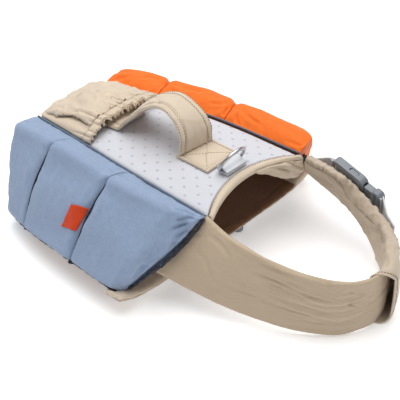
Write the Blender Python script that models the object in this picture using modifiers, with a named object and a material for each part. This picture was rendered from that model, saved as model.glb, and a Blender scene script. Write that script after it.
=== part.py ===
"""Dog life jacket: foam side floats on a padded back panel, a wrapped neck strap, a belly panel,
a rear pocket, a grab handle, a lead ring and two side-release buckles.

+X points to the dog's head, +Y to the dog's left and +Z up. The jacket stands by itself, filled out
and empty, on its belly panel and the lower edge of its neck strap, so Z = 0 is the surface under it.
The tables and sizes are in millimetres; MM turns them into Blender's metres.
"""

from math import cos, pi, radians, sin

import bmesh
import bpy
import numpy as np
from mathutils import Matrix, Vector

MM = 0.001
OBJECT_NAME = "dog_life_jacket"

# driving dimensions
LINING_GAP = 0.85       # between a float and the panel behind it
SEAM_GAP = 0.4          # between two pieces that are sewn together
LINING_THICK = 1.6      # side panels
BELLY_THICK = 2.0
BACK_THICK = 3.0        # padded back panel
BACK_ARCH = 4.0         # rise of the back panel's middle over its seams
PIPING_RADIUS = 1.35
PIPING_ROOM = 1.6       # half the width that the piping takes between panel and float
WEBBING_WIDTH = 24.0    # sold as 25 mm
WEBBING_THICK = 1.4
STRAP_THICK = 5.0       # padded neck strap
SLEEVE_THICK = 11.0     # the left strap is a sleeve that takes the right strap's end
SLEEVE_THINNING = 3.6   # the padded run is this much thinner than the end with the strap in it
SLEEVE_LIFT = 0.13      # and its lower edge is this share of the height further up
SLEEVE_WALL = 2.0
STRAP_BOW = 0.8         # the straps' outer faces bow out this much between their edges
HANDLE_THICK = 3.0
PATCH_THICK = 2.5
POCKET_WALL = 1.4
FOAM_HEM_IN = 19.5      # the hem face runs inwards this far
FOAM_HEM_DOWN = 7.8     # and down this far

# One row for each sewn channel of the floats, from the tail to the neck opening.
# Columns: x, y and z of the seam with the back panel, of the upper outer edge and of the lower outer edge.
FLOAT_ROWS = (
    (-175.0, 42.0, 80.0, -177.5, 70.5, 88.0, -163.0, 102.0, 13.0),
    (-113.0, 49.0, 81.0, -119.0, 74.5, 92.0, -125.0, 115.5, 19.5),
    (-37.0, 56.5, 80.0, -43.0, 81.0, 91.0, -54.0, 125.5, 23.5),
    (45.0, 60.0, 75.5, 48.0, 80.0, 87.5, 5.0, 129.5, 23.0),
)

# How full each foam block is along its length: 1 is the whole thickness.
FLOAT_BLOCKS = {
    "rear": (
        (0.0, 0.74), (0.04, 0.90), (0.12, 0.98), (0.32, 1.0),
        (0.68, 1.0), (0.86, 0.96), (0.95, 0.86), (1.0, 0.70),
    ),
    "middle": (
        (0.0, 0.70), (0.05, 0.86), (0.14, 0.96), (0.32, 1.0),
        (0.68, 1.0), (0.86, 0.96), (0.95, 0.86), (1.0, 0.70),
    ),
    "front": (
        (0.0, 0.70), (0.05, 0.86), (0.14, 0.96), (0.32, 1.0),
        (0.66, 1.0), (0.84, 0.93), (0.94, 0.78), (1.0, 0.52),
    ),
}

# The left float is full right up to its front end, where the right one slopes off.
LEFT_FRONT_END = ((0.84, 0.99), (0.95, 0.93), (1.0, 0.82))

# Neck ring, from the middle of the chest round to the shoulder: upper and lower edge of the strap.
RING_ROWS = (
    (175.0, 0.0, 50.0, 173.0, 0.0, 0.0),
    (171.0, 20.0, 51.0, 169.0, 20.0, 0.0),
    (160.0, 37.0, 53.0, 157.0, 37.0, 0.5),
    (142.0, 49.0, 56.0, 138.0, 53.0, 3.0),
    (120.0, 57.0, 60.0, 112.0, 67.0, 8.0),
    (95.0, 62.0, 65.0, 80.0, 79.0, 14.0),
    (68.0, 62.0, 70.0, 50.0, 88.0, 22.0),
    (47.4, 60.0, 76.0, 17.0, 97.0, 32.0),
)
SHOULDER_ROW = 7.0      # both straps start at this ring row
RIGHT_STRAP_END = 1.3   # ring row, on the left side, where the right strap ends inside the sleeve
SLEEVE_OUT = 3.0        # how far the sleeve's outer face lies outside the ring, at its mouth
SLEEVE_SWELL = 3.0      # and how much further out along its padded run
SLEEVE_MOUTH = -0.7     # ring row, on the right side, of the sleeve's mouth
SLEEVE_RISE = 0.055     # share of the ring's height by which the sleeve stands over the strap in it
STRAP_TUCK = 0.056      # and by which the strap's lower edge is drawn up inside it

# Handle band: its right and left edge, from under the pocket, over the hand's gap, down to the patch.
# Columns: x, y and z of the right edge, and of the left edge.
HANDLE_ROWS = (
    (-124.0, -21.0, 86.8, -124.0, 18.0, 87.0),
    (-108.0, -22.0, 86.8, -109.0, 18.0, 87.0),
    (-92.0, -22.0, 87.0, -96.5, 19.0, 87.8),
    (-81.0, -20.0, 98.0, -88.5, 18.0, 99.0),
    (-67.0, -16.0, 111.0, -77.0, 18.0, 109.0),
    (-53.0, -14.0, 118.5, -58.0, 18.0, 118.0),
    (-41.0, -14.0, 119.5, -42.0, 18.0, 119.0),
    (-28.0, -16.0, 114.0, -27.0, 18.0, 111.0),
    (-20.5, -17.5, 103.0, -19.0, 18.0, 101.0),
    (-20.0, -19.0, 94.0, -17.5, 18.5, 92.0),
    (-21.0, -19.5, 86.6, -17.5, 19.0, 86.6),
)
HANDLE_CROWN = 1.0
PATCH_X = (-24.0, 11.0)
PATCH_HALF = 19.5

# Pocket: rise of its cloth over the back panel, from a side seam inwards, with the folded gusset,
# and how full it is along the back.
POCKET_PROFILE = (
    (0.0, 0.0), (1.0, 3.0), (4.0, 6.6), (8.0, 4.4), (9.5, 7.8), (12.5, 10.0), (21.0, 11.4), (33.0, 12.0),
)
POCKET_FILL = (
    (-174.5, 0.14), (-170.0, 0.30), (-158.0, 0.80), (-140.0, 1.0), (-120.0, 0.96), (-106.5, 0.80),
)
POCKET_EDGE = 2.9       # from the seam line to the pocket's side edge
MOUTH_X = (-105.9, -99.2)
BAND_EDGE = 3.3         # from the seam line to the side edge of the elastic band at the mouth
BAND_THICK = 3.0
BAND_FILL = 0.78

# Collar binding: the neck opening's edge lies further forward at its corners.
COLLAR_MIDDLE_X = 27.0
COLLAR_RISE = 18.0
COLLAR_SPAN = 58.0
COLLAR_WIDTH = 10.5
COLLAR_HALF = 53.0
COLLAR_THICK = 3.4
COLLAR_CROWN = 0.8
COLLAR_NARROWING = 0.42     # share of its width that the binding loses at the corners

# Lead ring: a D of wire on a webbing loop, standing up and leaning forward.
RING_BAR_X = 18.0
RING_WIRE = 1.5
RING_HALF = 14.2
RING_SIDE = 4.0
RING_TILT = 60.0
WEBBING_END_X = 26.4

# Side-release buckle
BUCKLE_WIDTH = 31.0
SOCKET_LENGTH = 38.0
PLUG_LENGTH = 19.0
BUCKLE_CORNER = 3.0
PLUG_THINNER = 0.86     # of the socket's thickness
SLOT_INSET = 5.0        # from a buckle's end to the middle of the slot that the webbing passes through
SLOT_LENGTH = 3.6
SHOULDER_BUCKLE = {"row": 5.04, "height": 0.67, "stand_off": 2.0, "thick": 9.0}
# Its webbing: ring row, share of the ring's height and distance off the sleeve.
REAR_WEBBING_START = (6.6, 0.55, 2.4)
REAR_WEBBING_BOW = ((0.0, 0.0), (0.15, 2.0), (0.45, 4.0), (0.75, 2.4), (1.0, 0.0))
FRONT_WEBBING = ((3.6, 0.61, 3.6), (3.35, 0.61, 2.6), (3.0, 0.61, 2.2))
BELLY_BUCKLE = {"x": -7.5, "y": 9.0, "turn": -10.0, "thick": 6.6}

# Belly panel: it lies flat on the surface, and its front end is lifted over the buckle.
BELLY_ROWS = (0.72, 1.0, 1.3, 1.6, 1.9, 2.05, 2.2, 2.4, 2.65, 2.9, 3.12)
BELLY_LIFT = 7.3
BELLY_LIFT_ROWS = (1.95, 2.4)
BELLY_SLOPE_IN = 13.0
BELLY_FLAT_IN = 32.0
BELLY_SLACK = 1.4       # it hangs this much clear of the floats' hems
# Distances from the middle at which a belly strap follows the panel, from its sewn end inwards.
BELLY_STRAP_ROW = 2.80
BELLY_STRAP_Y = (110.0, 101.0, 92.0, 80.0, 66.0)
BELLY_STRAP_DROP = 2.0  # from the panel's underside to the middle of the webbing

TAG_ROWS = (0.76, 0.975)   # along the middle foam block
TAG_DROP = (0.43, 0.70)     # down its outer side
TAG_THICK = 1.0
TAG_RISE = 1.05
TAG_OUT = (0.0, -0.83, 0.55)    # outwards from the right float's side

COLOURS = {
    "tan": (0.66, 0.56, 0.43, 0.85, 0.0),
    "grey": (0.74, 0.75, 0.79, 0.80, 0.0),
    "blue": (0.27, 0.36, 0.52, 0.60, 0.0),
    "orange": (0.95, 0.22, 0.02, 0.55, 0.0),
    "tag": (0.80, 0.09, 0.01, 0.60, 0.0),
    "slate": (0.07, 0.09, 0.13, 0.55, 0.0),
    "brown": (0.07, 0.045, 0.03, 0.80, 0.0),
    "webbing": (0.62, 0.63, 0.66, 0.75, 0.0),
    "plastic": (0.16, 0.17, 0.19, 0.38, 0.0),
    "steel": (0.62, 0.62, 0.60, 0.25, 1.0),
}


def along(rows, position):
    """The row at a position between the rows, on a smooth curve through all of them."""
    table = np.array(rows, float)
    last = len(table) - 1
    index = min(max(int(position), 0), last - 1)
    t = position - index
    here, after = table[index], table[index + 1]
    before = table[index - 1] if index > 0 else 2 * here - after
    beyond = table[index + 2] if index + 2 <= last else 2 * after - here
    return 0.5 * (
        2 * here
        + (after - before) * t
        + (2 * before - 5 * here + 4 * after - beyond) * t * t
        + (3 * here - before - 3 * after + beyond) * t ** 3
    )


def spread(first, last, count):
    return [float(value) for value in np.linspace(first, last, count)]


def ease(value, start, end):
    t = min(max((value - start) / (end - start), 0.0), 1.0)
    return t * t * (3 - 2 * t)


# Back panel ------------------------------------------------------------------------------------------

SEAM_ROWS = [row[:3] for row in FLOAT_ROWS]
FINE_POSITIONS = spread(0.0, 3.0, 61)
FINE_X = [along(SEAM_ROWS, position)[0] for position in FINE_POSITIONS]


def back_point(x, share):
    """A point on the back panel's top at x, with share running from -1, right seam, to 1, left seam."""
    _, half, z = along(SEAM_ROWS, float(np.interp(x, FINE_X, FINE_POSITIONS)))
    return Vector((x, share * (half - PIPING_ROOM), z + BACK_ARCH * (1 - share * share)))


def on_back(x, y, rise=0.0):
    """A point over the back panel's top, straight above its x and y."""
    half = back_point(x, 1.0).y
    point = back_point(x, y / half)
    return point + Vector((0, 0, rise))


def collar_x(y, forward=0.0):
    return COLLAR_MIDDLE_X + COLLAR_RISE * (y / COLLAR_SPAN) ** 2 + forward


# Meshes ----------------------------------------------------------------------------------------------


def new_object(name, mesh_maker, material, closed=True):
    """A mesh object in the jacket's collection, filled by mesh_maker(bm) in millimetres."""
    mesh = bpy.data.meshes.new(name)
    bm = bmesh.new()
    mesh_maker(bm)
    if closed:
        bmesh.ops.recalc_face_normals(bm, faces=bm.faces)
    bmesh.ops.scale(bm, vec=(MM, MM, MM), verts=bm.verts)
    bm.to_mesh(mesh)
    bm.free()
    obj = bpy.data.objects.new(name, mesh)
    PARTS.objects.link(obj)
    mesh.materials.append(MATERIALS[material])
    mesh.shade_smooth()
    mesh.set_sharp_from_angle(angle=radians(40))
    return obj


def loft(name, rings, material):
    """A closed solid through rings of the same number of points, with flat ends."""

    def fill(bm):
        loops = [[bm.verts.new(point) for point in ring] for ring in rings]
        for one, two in zip(loops, loops[1:]):
            for i in range(len(one)):
                j = (i + 1) % len(one)
                bm.faces.new((one[i], one[j], two[j], two[i]))
        bm.faces.new(loops[0])
        bm.faces.new(loops[-1])

    return new_object(name, fill, material)


def sheet(name, rows, material, thickness, offset):
    """Cloth: a grid of points with a wall made by Solidify. offset 1 builds it on the normals' side."""

    def fill(bm):
        lines = [[bm.verts.new(point) for point in row] for row in rows]
        for one, two in zip(lines, lines[1:]):
            for i in range(len(one) - 1):
                bm.faces.new((one[i], one[i + 1], two[i + 1], two[i]))

    obj = new_object(name, fill, material, closed=False)
    wall = obj.modifiers.new("Wall", "SOLIDIFY")
    wall.thickness = thickness * MM
    wall.offset = offset
    wall.use_even_offset = True
    return obj


def upward(rows):
    """The rows in the order that gives the sheet upward normals."""
    across, forward = rows[0][1] - rows[0][0], rows[1][0] - rows[0][0]
    return rows if across.cross(forward).z > 0 else [row[::-1] for row in rows]


def rounded(corners, radii, steps):
    """Points round a closed outline whose corners are rounded. An outline's corner is a Vector."""
    points = []
    for i, corner in enumerate(corners):
        before, after = corners[i - 1] - corner, corners[(i + 1) % len(corners)] - corner
        start = corner + before.normalized() * radii[i]
        end = corner + after.normalized() * radii[i]
        arc = []
        for step in range(steps[i] + 1):
            t = step / steps[i]
            arc.append(start * (1 - t) ** 2 + corner * 2 * t * (1 - t) + end * t * t)
        points.append(arc)
    return points


# Floats ----------------------------------------------------------------------------------------------


def float_corners(side, position):
    """Seam, ridge, hem and inner hem corner of a float's section. All four lie in one plane."""
    row = along(FLOAT_ROWS, position)
    seam, ridge, hem = Vector(row[0:3]), Vector(row[3:6]), Vector(row[6:9])
    seam.y += PIPING_ROOM
    inner = hem - Vector((0, FOAM_HEM_IN, FOAM_HEM_DOWN))
    normal = (ridge - seam).cross(hem - seam)
    inner.x = seam.x - (normal.y * (inner.y - seam.y) + normal.z * (inner.z - seam.z)) / normal.x
    return [Vector((corner.x, corner.y * side, corner.z)) for corner in (seam, ridge, hem, inner)]


CORNER_RADII = (0.8, 9.0, 7.0, 2.5)
CORNER_STEPS = (2, 4, 4, 2)
TOP_CROWN = 1.6
SIDE_CROWN = 3.6
INNER_SHARES = (0.25, 0.5, 0.75)


def float_ring(side, position, full):
    """A float's section. full under 1 draws its outer faces in towards the wall next to the dog."""
    seam, ridge, hem, inner = float_corners(side, position)
    arcs = rounded((seam, ridge, hem, inner), CORNER_RADII, CORNER_STEPS)
    middle = (seam + ridge + hem + inner) / 4
    top_out = ((seam + ridge) / 2 - middle).normalized() * TOP_CROWN
    side_out = (hem - ridge).cross((ridge - seam).cross(hem - ridge)).normalized()
    side_out = side_out if side_out.dot((ridge + hem) / 2 - middle) > 0 else -side_out
    top = [arcs[0][-1].lerp(arcs[1][0], 0.5) + top_out]
    outer = []
    for share in (0.25, 0.5, 0.75):
        bow = 4 * share * (1 - share) * SIDE_CROWN
        outer.append(arcs[1][-1].lerp(arcs[2][0], share) + side_out * bow)
    wall = [arcs[3][-1].lerp(arcs[0][0], share) for share in INNER_SHARES]
    ring = arcs[0] + top + arcs[1] + outer + arcs[2] + arcs[3] + wall
    run = (inner - seam).normalized()
    drawn = []
    for point in ring:
        foot = seam + run * (point - seam).dot(run)
        drawn.append(foot + (point - foot) * full)
    return drawn


def make_float(side, side_name, material):
    for index, (block, rows) in enumerate(FLOAT_BLOCKS.items()):
        if (side_name, block) == ("left", "front"):
            rows = rows[:-3] + LEFT_FRONT_END
        length = (along(SEAM_ROWS, index + 1) - along(SEAM_ROWS, index))[0]
        inset = 0.5 * SEAM_GAP / length
        rings = []
        for t, full in rows:
            position = index + inset + t * (1 - 2 * inset)
            rings.append(float_ring(side, position, full))
        loft(f"{side_name}_float_{block}", rings, material)


def lining_point(side, position, share, away):
    """A point on the wall behind a float, away from the foam, from the seam to the inner hem."""
    seam, ridge, _, inner = float_corners(side, position)
    inward = (inner - seam).cross(Vector((1, 0, 0))).normalized()
    inward = inward if inward.dot(seam - ridge) > 0 else -inward
    return seam.lerp(inner, share) + inward * away


def make_lining(side, side_name):
    shares = (0.03, 0.25, 0.5, 0.75, 0.975)
    positions = []
    for index, rows in enumerate(FLOAT_BLOCKS.values()):
        positions += [index + t for t, _ in rows if t < 1]
    positions += [2.995]
    rows = [[lining_point(side, position, share, LINING_GAP) for share in shares] for position in positions]
    inward = lining_point(side, 1.0, 0.5, 2.0) - lining_point(side, 1.0, 0.5, 1.0)
    facing = (rows[0][1] - rows[0][0]).cross(rows[1][0] - rows[0][0])
    rows = rows if facing.dot(inward) > 0 else [row[::-1] for row in rows]
    sheet(f"{side_name}_side_panel", rows, "tan", LINING_THICK, 1)


def make_piping(side, side_name):
    data = bpy.data.curves.new(f"{side_name}_piping", "CURVE")
    data.dimensions = "3D"
    data.bevel_depth = PIPING_RADIUS * MM
    data.bevel_resolution = 2
    data.use_fill_caps = True
    positions = spread(0.0, 2.99, 25)
    spline = data.splines.new("POLY")
    spline.points.add(len(positions) - 1)
    for point, position in zip(spline.points, positions):
        x, half, z = along(SEAM_ROWS, position)
        point.co = (x * MM, side * half * MM, (z + 0.3) * MM, 1)
    data.materials.append(MATERIALS["slate"])
    PARTS.objects.link(bpy.data.objects.new(f"{side_name}_piping", data))


def make_tag():
    """A woven tag over the seam between the middle and the front block of the right float."""
    rows = []
    for share in spread(*TAG_ROWS, 4):
        full = float(np.interp(share, *zip(*FLOAT_BLOCKS["middle"])))
        ring = float_ring(-1, 1 + share, full)
        first = CORNER_STEPS[0] + 2 + CORNER_STEPS[1]
        outer = ring[first:first + 5]
        rows.append([point_on(outer, drop) for drop in spread(*TAG_DROP, 4)])
    out = Vector(TAG_OUT)
    facing = (rows[0][1] - rows[0][0]).cross(rows[1][0] - rows[0][0])
    rows = rows if facing.dot(out) > 0 else [row[::-1] for row in rows]
    lifted = [[point + out * TAG_RISE for point in row] for row in rows]
    sheet("float_tag", lifted, "tag", TAG_THICK, 1)


def point_on(points, share):
    """A point at a share of the way along a list of points."""
    place = share * (len(points) - 1)
    index = min(int(place), len(points) - 2)
    return points[index].lerp(points[index + 1], place - index)


# Back panel, collar, pocket and handle ---------------------------------------------------------------


def make_back():
    shares = spread(-1.0, 1.0, 13)
    rows = []
    for step in spread(0.0, 1.0, 15):
        row = []
        for share in shares:
            rear = back_point(FLOAT_ROWS[0][0], share)
            front_x = collar_x(share * (COLLAR_SPAN - 1.0))
            x = rear.x + (front_x - rear.x) * step
            row.append(back_point(x, share))
        rows.append(row)
    sheet("back_panel", upward(rows), "grey", BACK_THICK, -1)


def make_collar():
    rows = []
    panel_end = FLOAT_ROWS[-1][0]
    for share in spread(0.0, 1.0, 4):
        forward = SEAM_GAP + (COLLAR_WIDTH - SEAM_GAP) * share
        row = []
        for y in spread(-COLLAR_HALF, COLLAR_HALF, 17):
            narrowing = 1 - COLLAR_NARROWING * (y / COLLAR_SPAN) ** 2
            x = collar_x(y, forward * narrowing)
            beyond = max(x - panel_end, 0.0)
            crown = COLLAR_CROWN * sin(pi * share)
            row.append(on_back(x - beyond, y, SEAM_GAP + crown) + Vector((beyond, 0, 0)))
        rows.append(row)
    sheet("collar_binding", upward(rows), "tan", COLLAR_THICK, -1)


def pocket_row(x, fill, edge):
    """The pocket's inner surface across the back at x, from the right seam to the left."""
    half = back_point(x, 1.0).y - edge + PIPING_ROOM
    right = []
    for inset, rise in POCKET_PROFILE:
        y = -(half - inset)
        right.append(on_back(x, y, SEAM_GAP + rise * fill))
    left = [Vector((point.x, -point.y, point.z)) for point in reversed(right)]
    return right + left


def make_pocket():
    rows = [pocket_row(x, fill, POCKET_EDGE) for x, fill in POCKET_FILL]
    sheet("pocket", upward(rows), "tan", POCKET_WALL, 1)


def make_pocket_band():
    rows = []
    for step in spread(0.0, 1.0, 3):
        x = MOUTH_X[0] + (MOUTH_X[1] - MOUTH_X[0]) * step
        fill = POCKET_FILL[-1][1] + (BAND_FILL - POCKET_FILL[-1][1]) * step
        rows.append(pocket_row(x, fill, BAND_EDGE))
    sheet("pocket_band", upward(rows), "tan", BAND_THICK, 1)


def make_handle():
    rows = []
    last = len(HANDLE_ROWS) - 1
    for position in spread(0.0, last, 31):
        row = along(HANDLE_ROWS, position)
        right, left = Vector(row[0:3]), Vector(row[3:6])
        line = []
        for share in spread(0.0, 1.0, 5):
            crown = Vector((0, 0, HANDLE_CROWN * 4 * share * (1 - share) * sin(pi * position / last)))
            line.append(right.lerp(left, share) + crown)
        rows.append(line)
    sheet("handle_band", rows, "tan", HANDLE_THICK, 0)


def make_patch():
    rows = []
    for x in spread(*PATCH_X, 5):
        rows.append([on_back(x, y, SEAM_GAP) for y in spread(-PATCH_HALF, PATCH_HALF, 7)])
    sheet("handle_patch", upward(rows), "tan", PATCH_THICK, 1)


# Lead ring -------------------------------------------------------------------------------------------


def ring_bar_z():
    """Height of the lead ring's bar, which lies inside the webbing's fold."""
    lower_middle = back_point(RING_BAR_X, 0.0).z + SEAM_GAP + WEBBING_THICK / 2
    return lower_middle + ring_fold()


def ring_fold():
    """Radius of the webbing's fold round the lead ring's bar."""
    return RING_WIRE + SEAM_GAP + WEBBING_THICK / 2


def make_ring_webbing():
    lower = back_point(RING_BAR_X, 0.0).z + SEAM_GAP + WEBBING_THICK / 2
    bar_z = ring_bar_z()
    fold = ring_fold()
    path = [(WEBBING_END_X, lower), (RING_BAR_X + 4.0, lower)]
    for angle in spread(-90.0, -270.0, 11):
        turn = radians(angle)
        path.append((RING_BAR_X + fold * cos(turn), bar_z + fold * sin(turn)))
    path += [(RING_BAR_X + 5.0, bar_z + fold - 0.4), (WEBBING_END_X, lower + WEBBING_THICK + 1.0)]
    rows = []
    for x, z in path:
        rows.append([Vector((x, y, z)) for y in spread(-WEBBING_WIDTH / 2, WEBBING_WIDTH / 2, 3)])
    sheet("ring_webbing", rows, "webbing", WEBBING_THICK, 0)


def make_lead_ring():
    """A closed D of wire. Its origin is on the bar, which is the hinge it turns on."""
    outline = [(0.0, -RING_HALF + 1.4), (0.0, 0.0), (0.0, RING_HALF - 1.4)]
    outline += [(0.4, RING_HALF - 0.4), (1.4, RING_HALF)]
    for angle in spread(90.0, -90.0, 13):
        turn = radians(angle)
        outline.append((RING_SIDE + RING_HALF * cos(turn), RING_HALF * sin(turn)))
    outline += [(1.4, -RING_HALF), (0.4, -RING_HALF + 0.4)]
    data = bpy.data.curves.new("lead_ring", "CURVE")
    data.dimensions = "3D"
    data.bevel_depth = RING_WIRE * MM
    data.bevel_resolution = 2
    spline = data.splines.new("POLY")
    spline.points.add(len(outline) - 1)
    for point, (depth, y) in zip(spline.points, outline):
        point.co = (depth * MM, y * MM, 0, 1)
    spline.use_cyclic_u = True
    data.materials.append(MATERIALS["steel"])
    ring = bpy.data.objects.new("lead_ring", data)
    ring.location = (RING_BAR_X * MM, 0, ring_bar_z() * MM)
    ring.rotation_euler = (0, -radians(RING_TILT), 0)
    PARTS.objects.link(ring)


# Neck ring -------------------------------------------------------------------------------------------


def ring_frame(position):
    """Lower edge, upper edge and outward direction of the neck ring at a row, negative on the right."""
    half_turn = [(row[0], -row[1], row[2], row[3], -row[4], row[5]) for row in reversed(RING_ROWS[1:])]
    rows = half_turn + list(RING_ROWS)
    row = along(rows, position + len(RING_ROWS) - 1)
    ahead = along(rows, position + len(RING_ROWS) - 1 + 0.02) - row
    upper, lower = Vector(row[0:3]), Vector(row[3:6])
    travel = (Vector(ahead[0:3]) + Vector(ahead[3:6])).normalized()
    rise = (upper - lower).normalized()
    return lower, upper, travel.cross(rise).normalized()


def ring_section(position, outer, inner, low, high):
    """A rounded section of a band on the neck ring: offsets outwards, and shares of its height."""
    lower, upper, out = ring_frame(position)
    half = (outer - inner) / 2
    round_share = half / (upper - lower).length
    flat_low, flat_high = low + round_share, high - round_share
    levels = spread(flat_low, flat_high, 4)
    points = []
    for share in levels:
        bow = STRAP_BOW * 4 * (share - flat_low) * (flat_high - share) / (flat_high - flat_low) ** 2
        points.append(lower.lerp(upper, share) + out * (outer + bow))
    for angle in (60.0, 0.0, -60.0):
        share = flat_high + round_share * cos(radians(angle))
        points.append(lower.lerp(upper, share) + out * (inner + half + half * sin(radians(angle))))
    for share in reversed(levels):
        points.append(lower.lerp(upper, share) + out * inner)
    for angle in (-60.0, 0.0, 60.0):
        share = flat_low - round_share * cos(radians(angle))
        points.append(lower.lerp(upper, share) + out * (inner + half + half * sin(radians(angle))))
    return points


def make_right_strap():
    rings = []
    for position in spread(-SHOULDER_ROW, RIGHT_STRAP_END, 30):
        tucked = STRAP_TUCK * ease(position, -2.2, -0.9)
        rings.append(ring_section(position, 0.0, -STRAP_THICK, tucked, 1.0))
    loft("right_neck_strap", rings, "tan")


def sleeve_out(position):
    """How far the left sleeve's outer face lies outside the neck ring at a row."""
    return SLEEVE_OUT + SLEEVE_SWELL * (ease(position, 1.8, 4.4) - 0.5 * ease(position, 5.6, 7.0))


def make_left_sleeve():
    """A closed shoulder end, a padded run, and a hollow that opens at the mouth."""
    hollow_end = RIGHT_STRAP_END + 0.35
    rings = []
    for position in spread(SHOULDER_ROW, SLEEVE_MOUTH, 30):
        thick = SLEEVE_THICK - SLEEVE_THINNING * ease(position, 1.2, 3.8)
        outer = sleeve_out(position)
        low = SLEEVE_LIFT * ease(position, 1.8, 4.4)
        rings.append(ring_section(position, outer, outer - thick, low, 1 + SLEEVE_RISE))
    hollow_out = SLEEVE_OUT - SLEEVE_WALL
    hollow_in = hollow_out - (SLEEVE_THICK - 2 * SLEEVE_WALL)
    for position in spread(SLEEVE_MOUTH, hollow_end, 10):
        rings.append(ring_section(position, hollow_out, hollow_in, 0.75 * STRAP_TUCK, 1 + 0.3 * SLEEVE_RISE))
    loft("left_neck_sleeve", rings, "tan")


# Buckles ---------------------------------------------------------------------------------------------


def block_cutter(name, size, centre):
    """A box that cuts the buckles, kept with the other cutters."""
    mesh = bpy.data.meshes.new(name)
    bm = bmesh.new()
    bmesh.ops.create_cube(bm, size=1.0, matrix=Matrix.Diagonal((*[side * MM for side in size], 1)))
    bm.to_mesh(mesh)
    bm.free()
    cutter = bpy.data.objects.new(name, mesh)
    cutter.hide_render = True
    cutter.display_type = "WIRE"
    CUTTERS.objects.link(cutter)
    cutter.matrix_world = Matrix.Translation(Vector(centre) * MM)
    return cutter


def buckle_half(name, outline, thick, cuts, place):
    """One half of a buckle: a bevelled plate of an outline (length, width), with its slots cut out."""

    def fill(bm):
        low = [bm.verts.new((x, y, -thick / 2)) for x, y in outline]
        face = bm.faces.new(low)
        raised = bmesh.ops.extrude_face_region(bm, geom=[face])
        top = [item for item in raised["geom"] if isinstance(item, bmesh.types.BMVert)]
        bmesh.ops.translate(bm, verts=top, vec=(0, 0, thick))

    plate = new_object(name, fill, "plastic")
    edge = plate.modifiers.new("Edge", "BEVEL")
    edge.width = 1.6 * MM
    edge.segments = 2
    edge.angle_limit = radians(50)
    for number, (size, centre) in enumerate(cuts):
        cutter = block_cutter(f"{name}_cut_{number}", size, centre)
        cutter.matrix_world = place @ cutter.matrix_world
        cut = plate.modifiers.new(f"Slot {number}", "BOOLEAN")
        cut.operation = "DIFFERENCE"
        cut.object = cutter
    plate.matrix_world = place
    return plate


def make_buckle(prefix, thick, place):
    """Socket and plug, closed. Their own X runs along the webbing, from the socket to the plug."""
    half = BUCKLE_WIDTH / 2
    meet = SEAM_GAP / 2
    corner = BUCKLE_CORNER
    waist = PLUG_LENGTH - 8
    socket = mirrored([
        (-meet, half - corner), (-6, half), (corner - SOCKET_LENGTH, half), (-SOCKET_LENGTH, half - corner),
    ])
    plug = mirrored([
        (PLUG_LENGTH, half - corner), (PLUG_LENGTH - 2, half - 1), (waist + 2, half - 1),
        (waist, half - 4), (meet, half - 4),
    ])
    slot = (SLOT_LENGTH, WEBBING_WIDTH, 3 * thick)
    window = (9.0, 5.0, thick * 0.45)
    socket_cuts = [(slot, (SLOT_INSET - SOCKET_LENGTH, 0, 0))]
    socket_cuts += [(window, (-12.0, side * half, 0)) for side in (-1, 1)]
    plug_cuts = [(slot, (PLUG_LENGTH - SLOT_INSET, 0, 0))]
    buckle_half(f"{prefix}_socket", socket, thick, socket_cuts, place)
    buckle_half(f"{prefix}_plug", plug, thick * PLUG_THINNER, plug_cuts, place)


def mirrored(outline):
    """A closed outline from its upper half."""
    return outline + [(x, -y) for x, y in reversed(outline)]


def shoulder_place():
    """Where the shoulder buckle lies: on the outer side of the left strap."""
    row = SHOULDER_BUCKLE["row"]
    lower, upper, out = ring_frame(row)
    centre = lower.lerp(upper, SHOULDER_BUCKLE["height"])
    centre += out * (sleeve_out(row) + SHOULDER_BUCKLE["stand_off"] + SHOULDER_BUCKLE["thick"] / 2)
    ahead = ring_frame(row - 0.8)
    back = ring_frame(row + 0.8)
    forward = (ahead[0].lerp(ahead[1], 0.7) - back[0].lerp(back[1], 0.7)).normalized()
    rise = out.cross(forward).normalized()
    out = forward.cross(rise).normalized()
    turn = Matrix((forward, rise, out)).transposed().to_4x4()
    centre += forward * (SOCKET_LENGTH - PLUG_LENGTH) / 2
    return Matrix.Translation(centre * MM) @ turn


def ribbon(name, centres, widths, material):
    """Webbing along a list of centres. Each entry of widths points across it."""
    rows = []
    for centre, across in zip(centres, widths):
        half = across.normalized() * WEBBING_WIDTH / 2
        rows.append([centre - half, centre, centre + half])
    sheet(name, rows, material, WEBBING_THICK, 0)


def make_shoulder():
    place = shoulder_place()
    make_buckle("shoulder", SHOULDER_BUCKLE["thick"], place)
    turn = place.to_3x3()
    forward, rise, out = turn.col[0], -turn.col[1], turn.col[2]
    origin = place.translation / MM
    row, height, away = REAR_WEBBING_START
    lower, upper, normal = ring_frame(row)
    start = lower.lerp(upper, height) + normal * (sleeve_out(row) + away)
    rear = origin - forward * (SOCKET_LENGTH + 2 * SEAM_GAP)
    centres, widths = [], []
    for share, bow in REAR_WEBBING_BOW:
        centres.append(start.lerp(rear, share) + out * bow)
        widths.append((upper - lower).normalized().lerp(rise, share))
    ribbon("shoulder_webbing_rear", centres, widths, "webbing")
    centres, widths = [origin + forward * (PLUG_LENGTH + 2 * SEAM_GAP)], [rise]
    for row, height, away in FRONT_WEBBING:
        lower, upper, normal = ring_frame(row)
        centres.append(lower.lerp(upper, height) + normal * (sleeve_out(row) + away))
        widths.append((upper - lower).normalized())
    ribbon("shoulder_webbing_front", centres, widths, "webbing")


# Belly -----------------------------------------------------------------------------------------------


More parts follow.
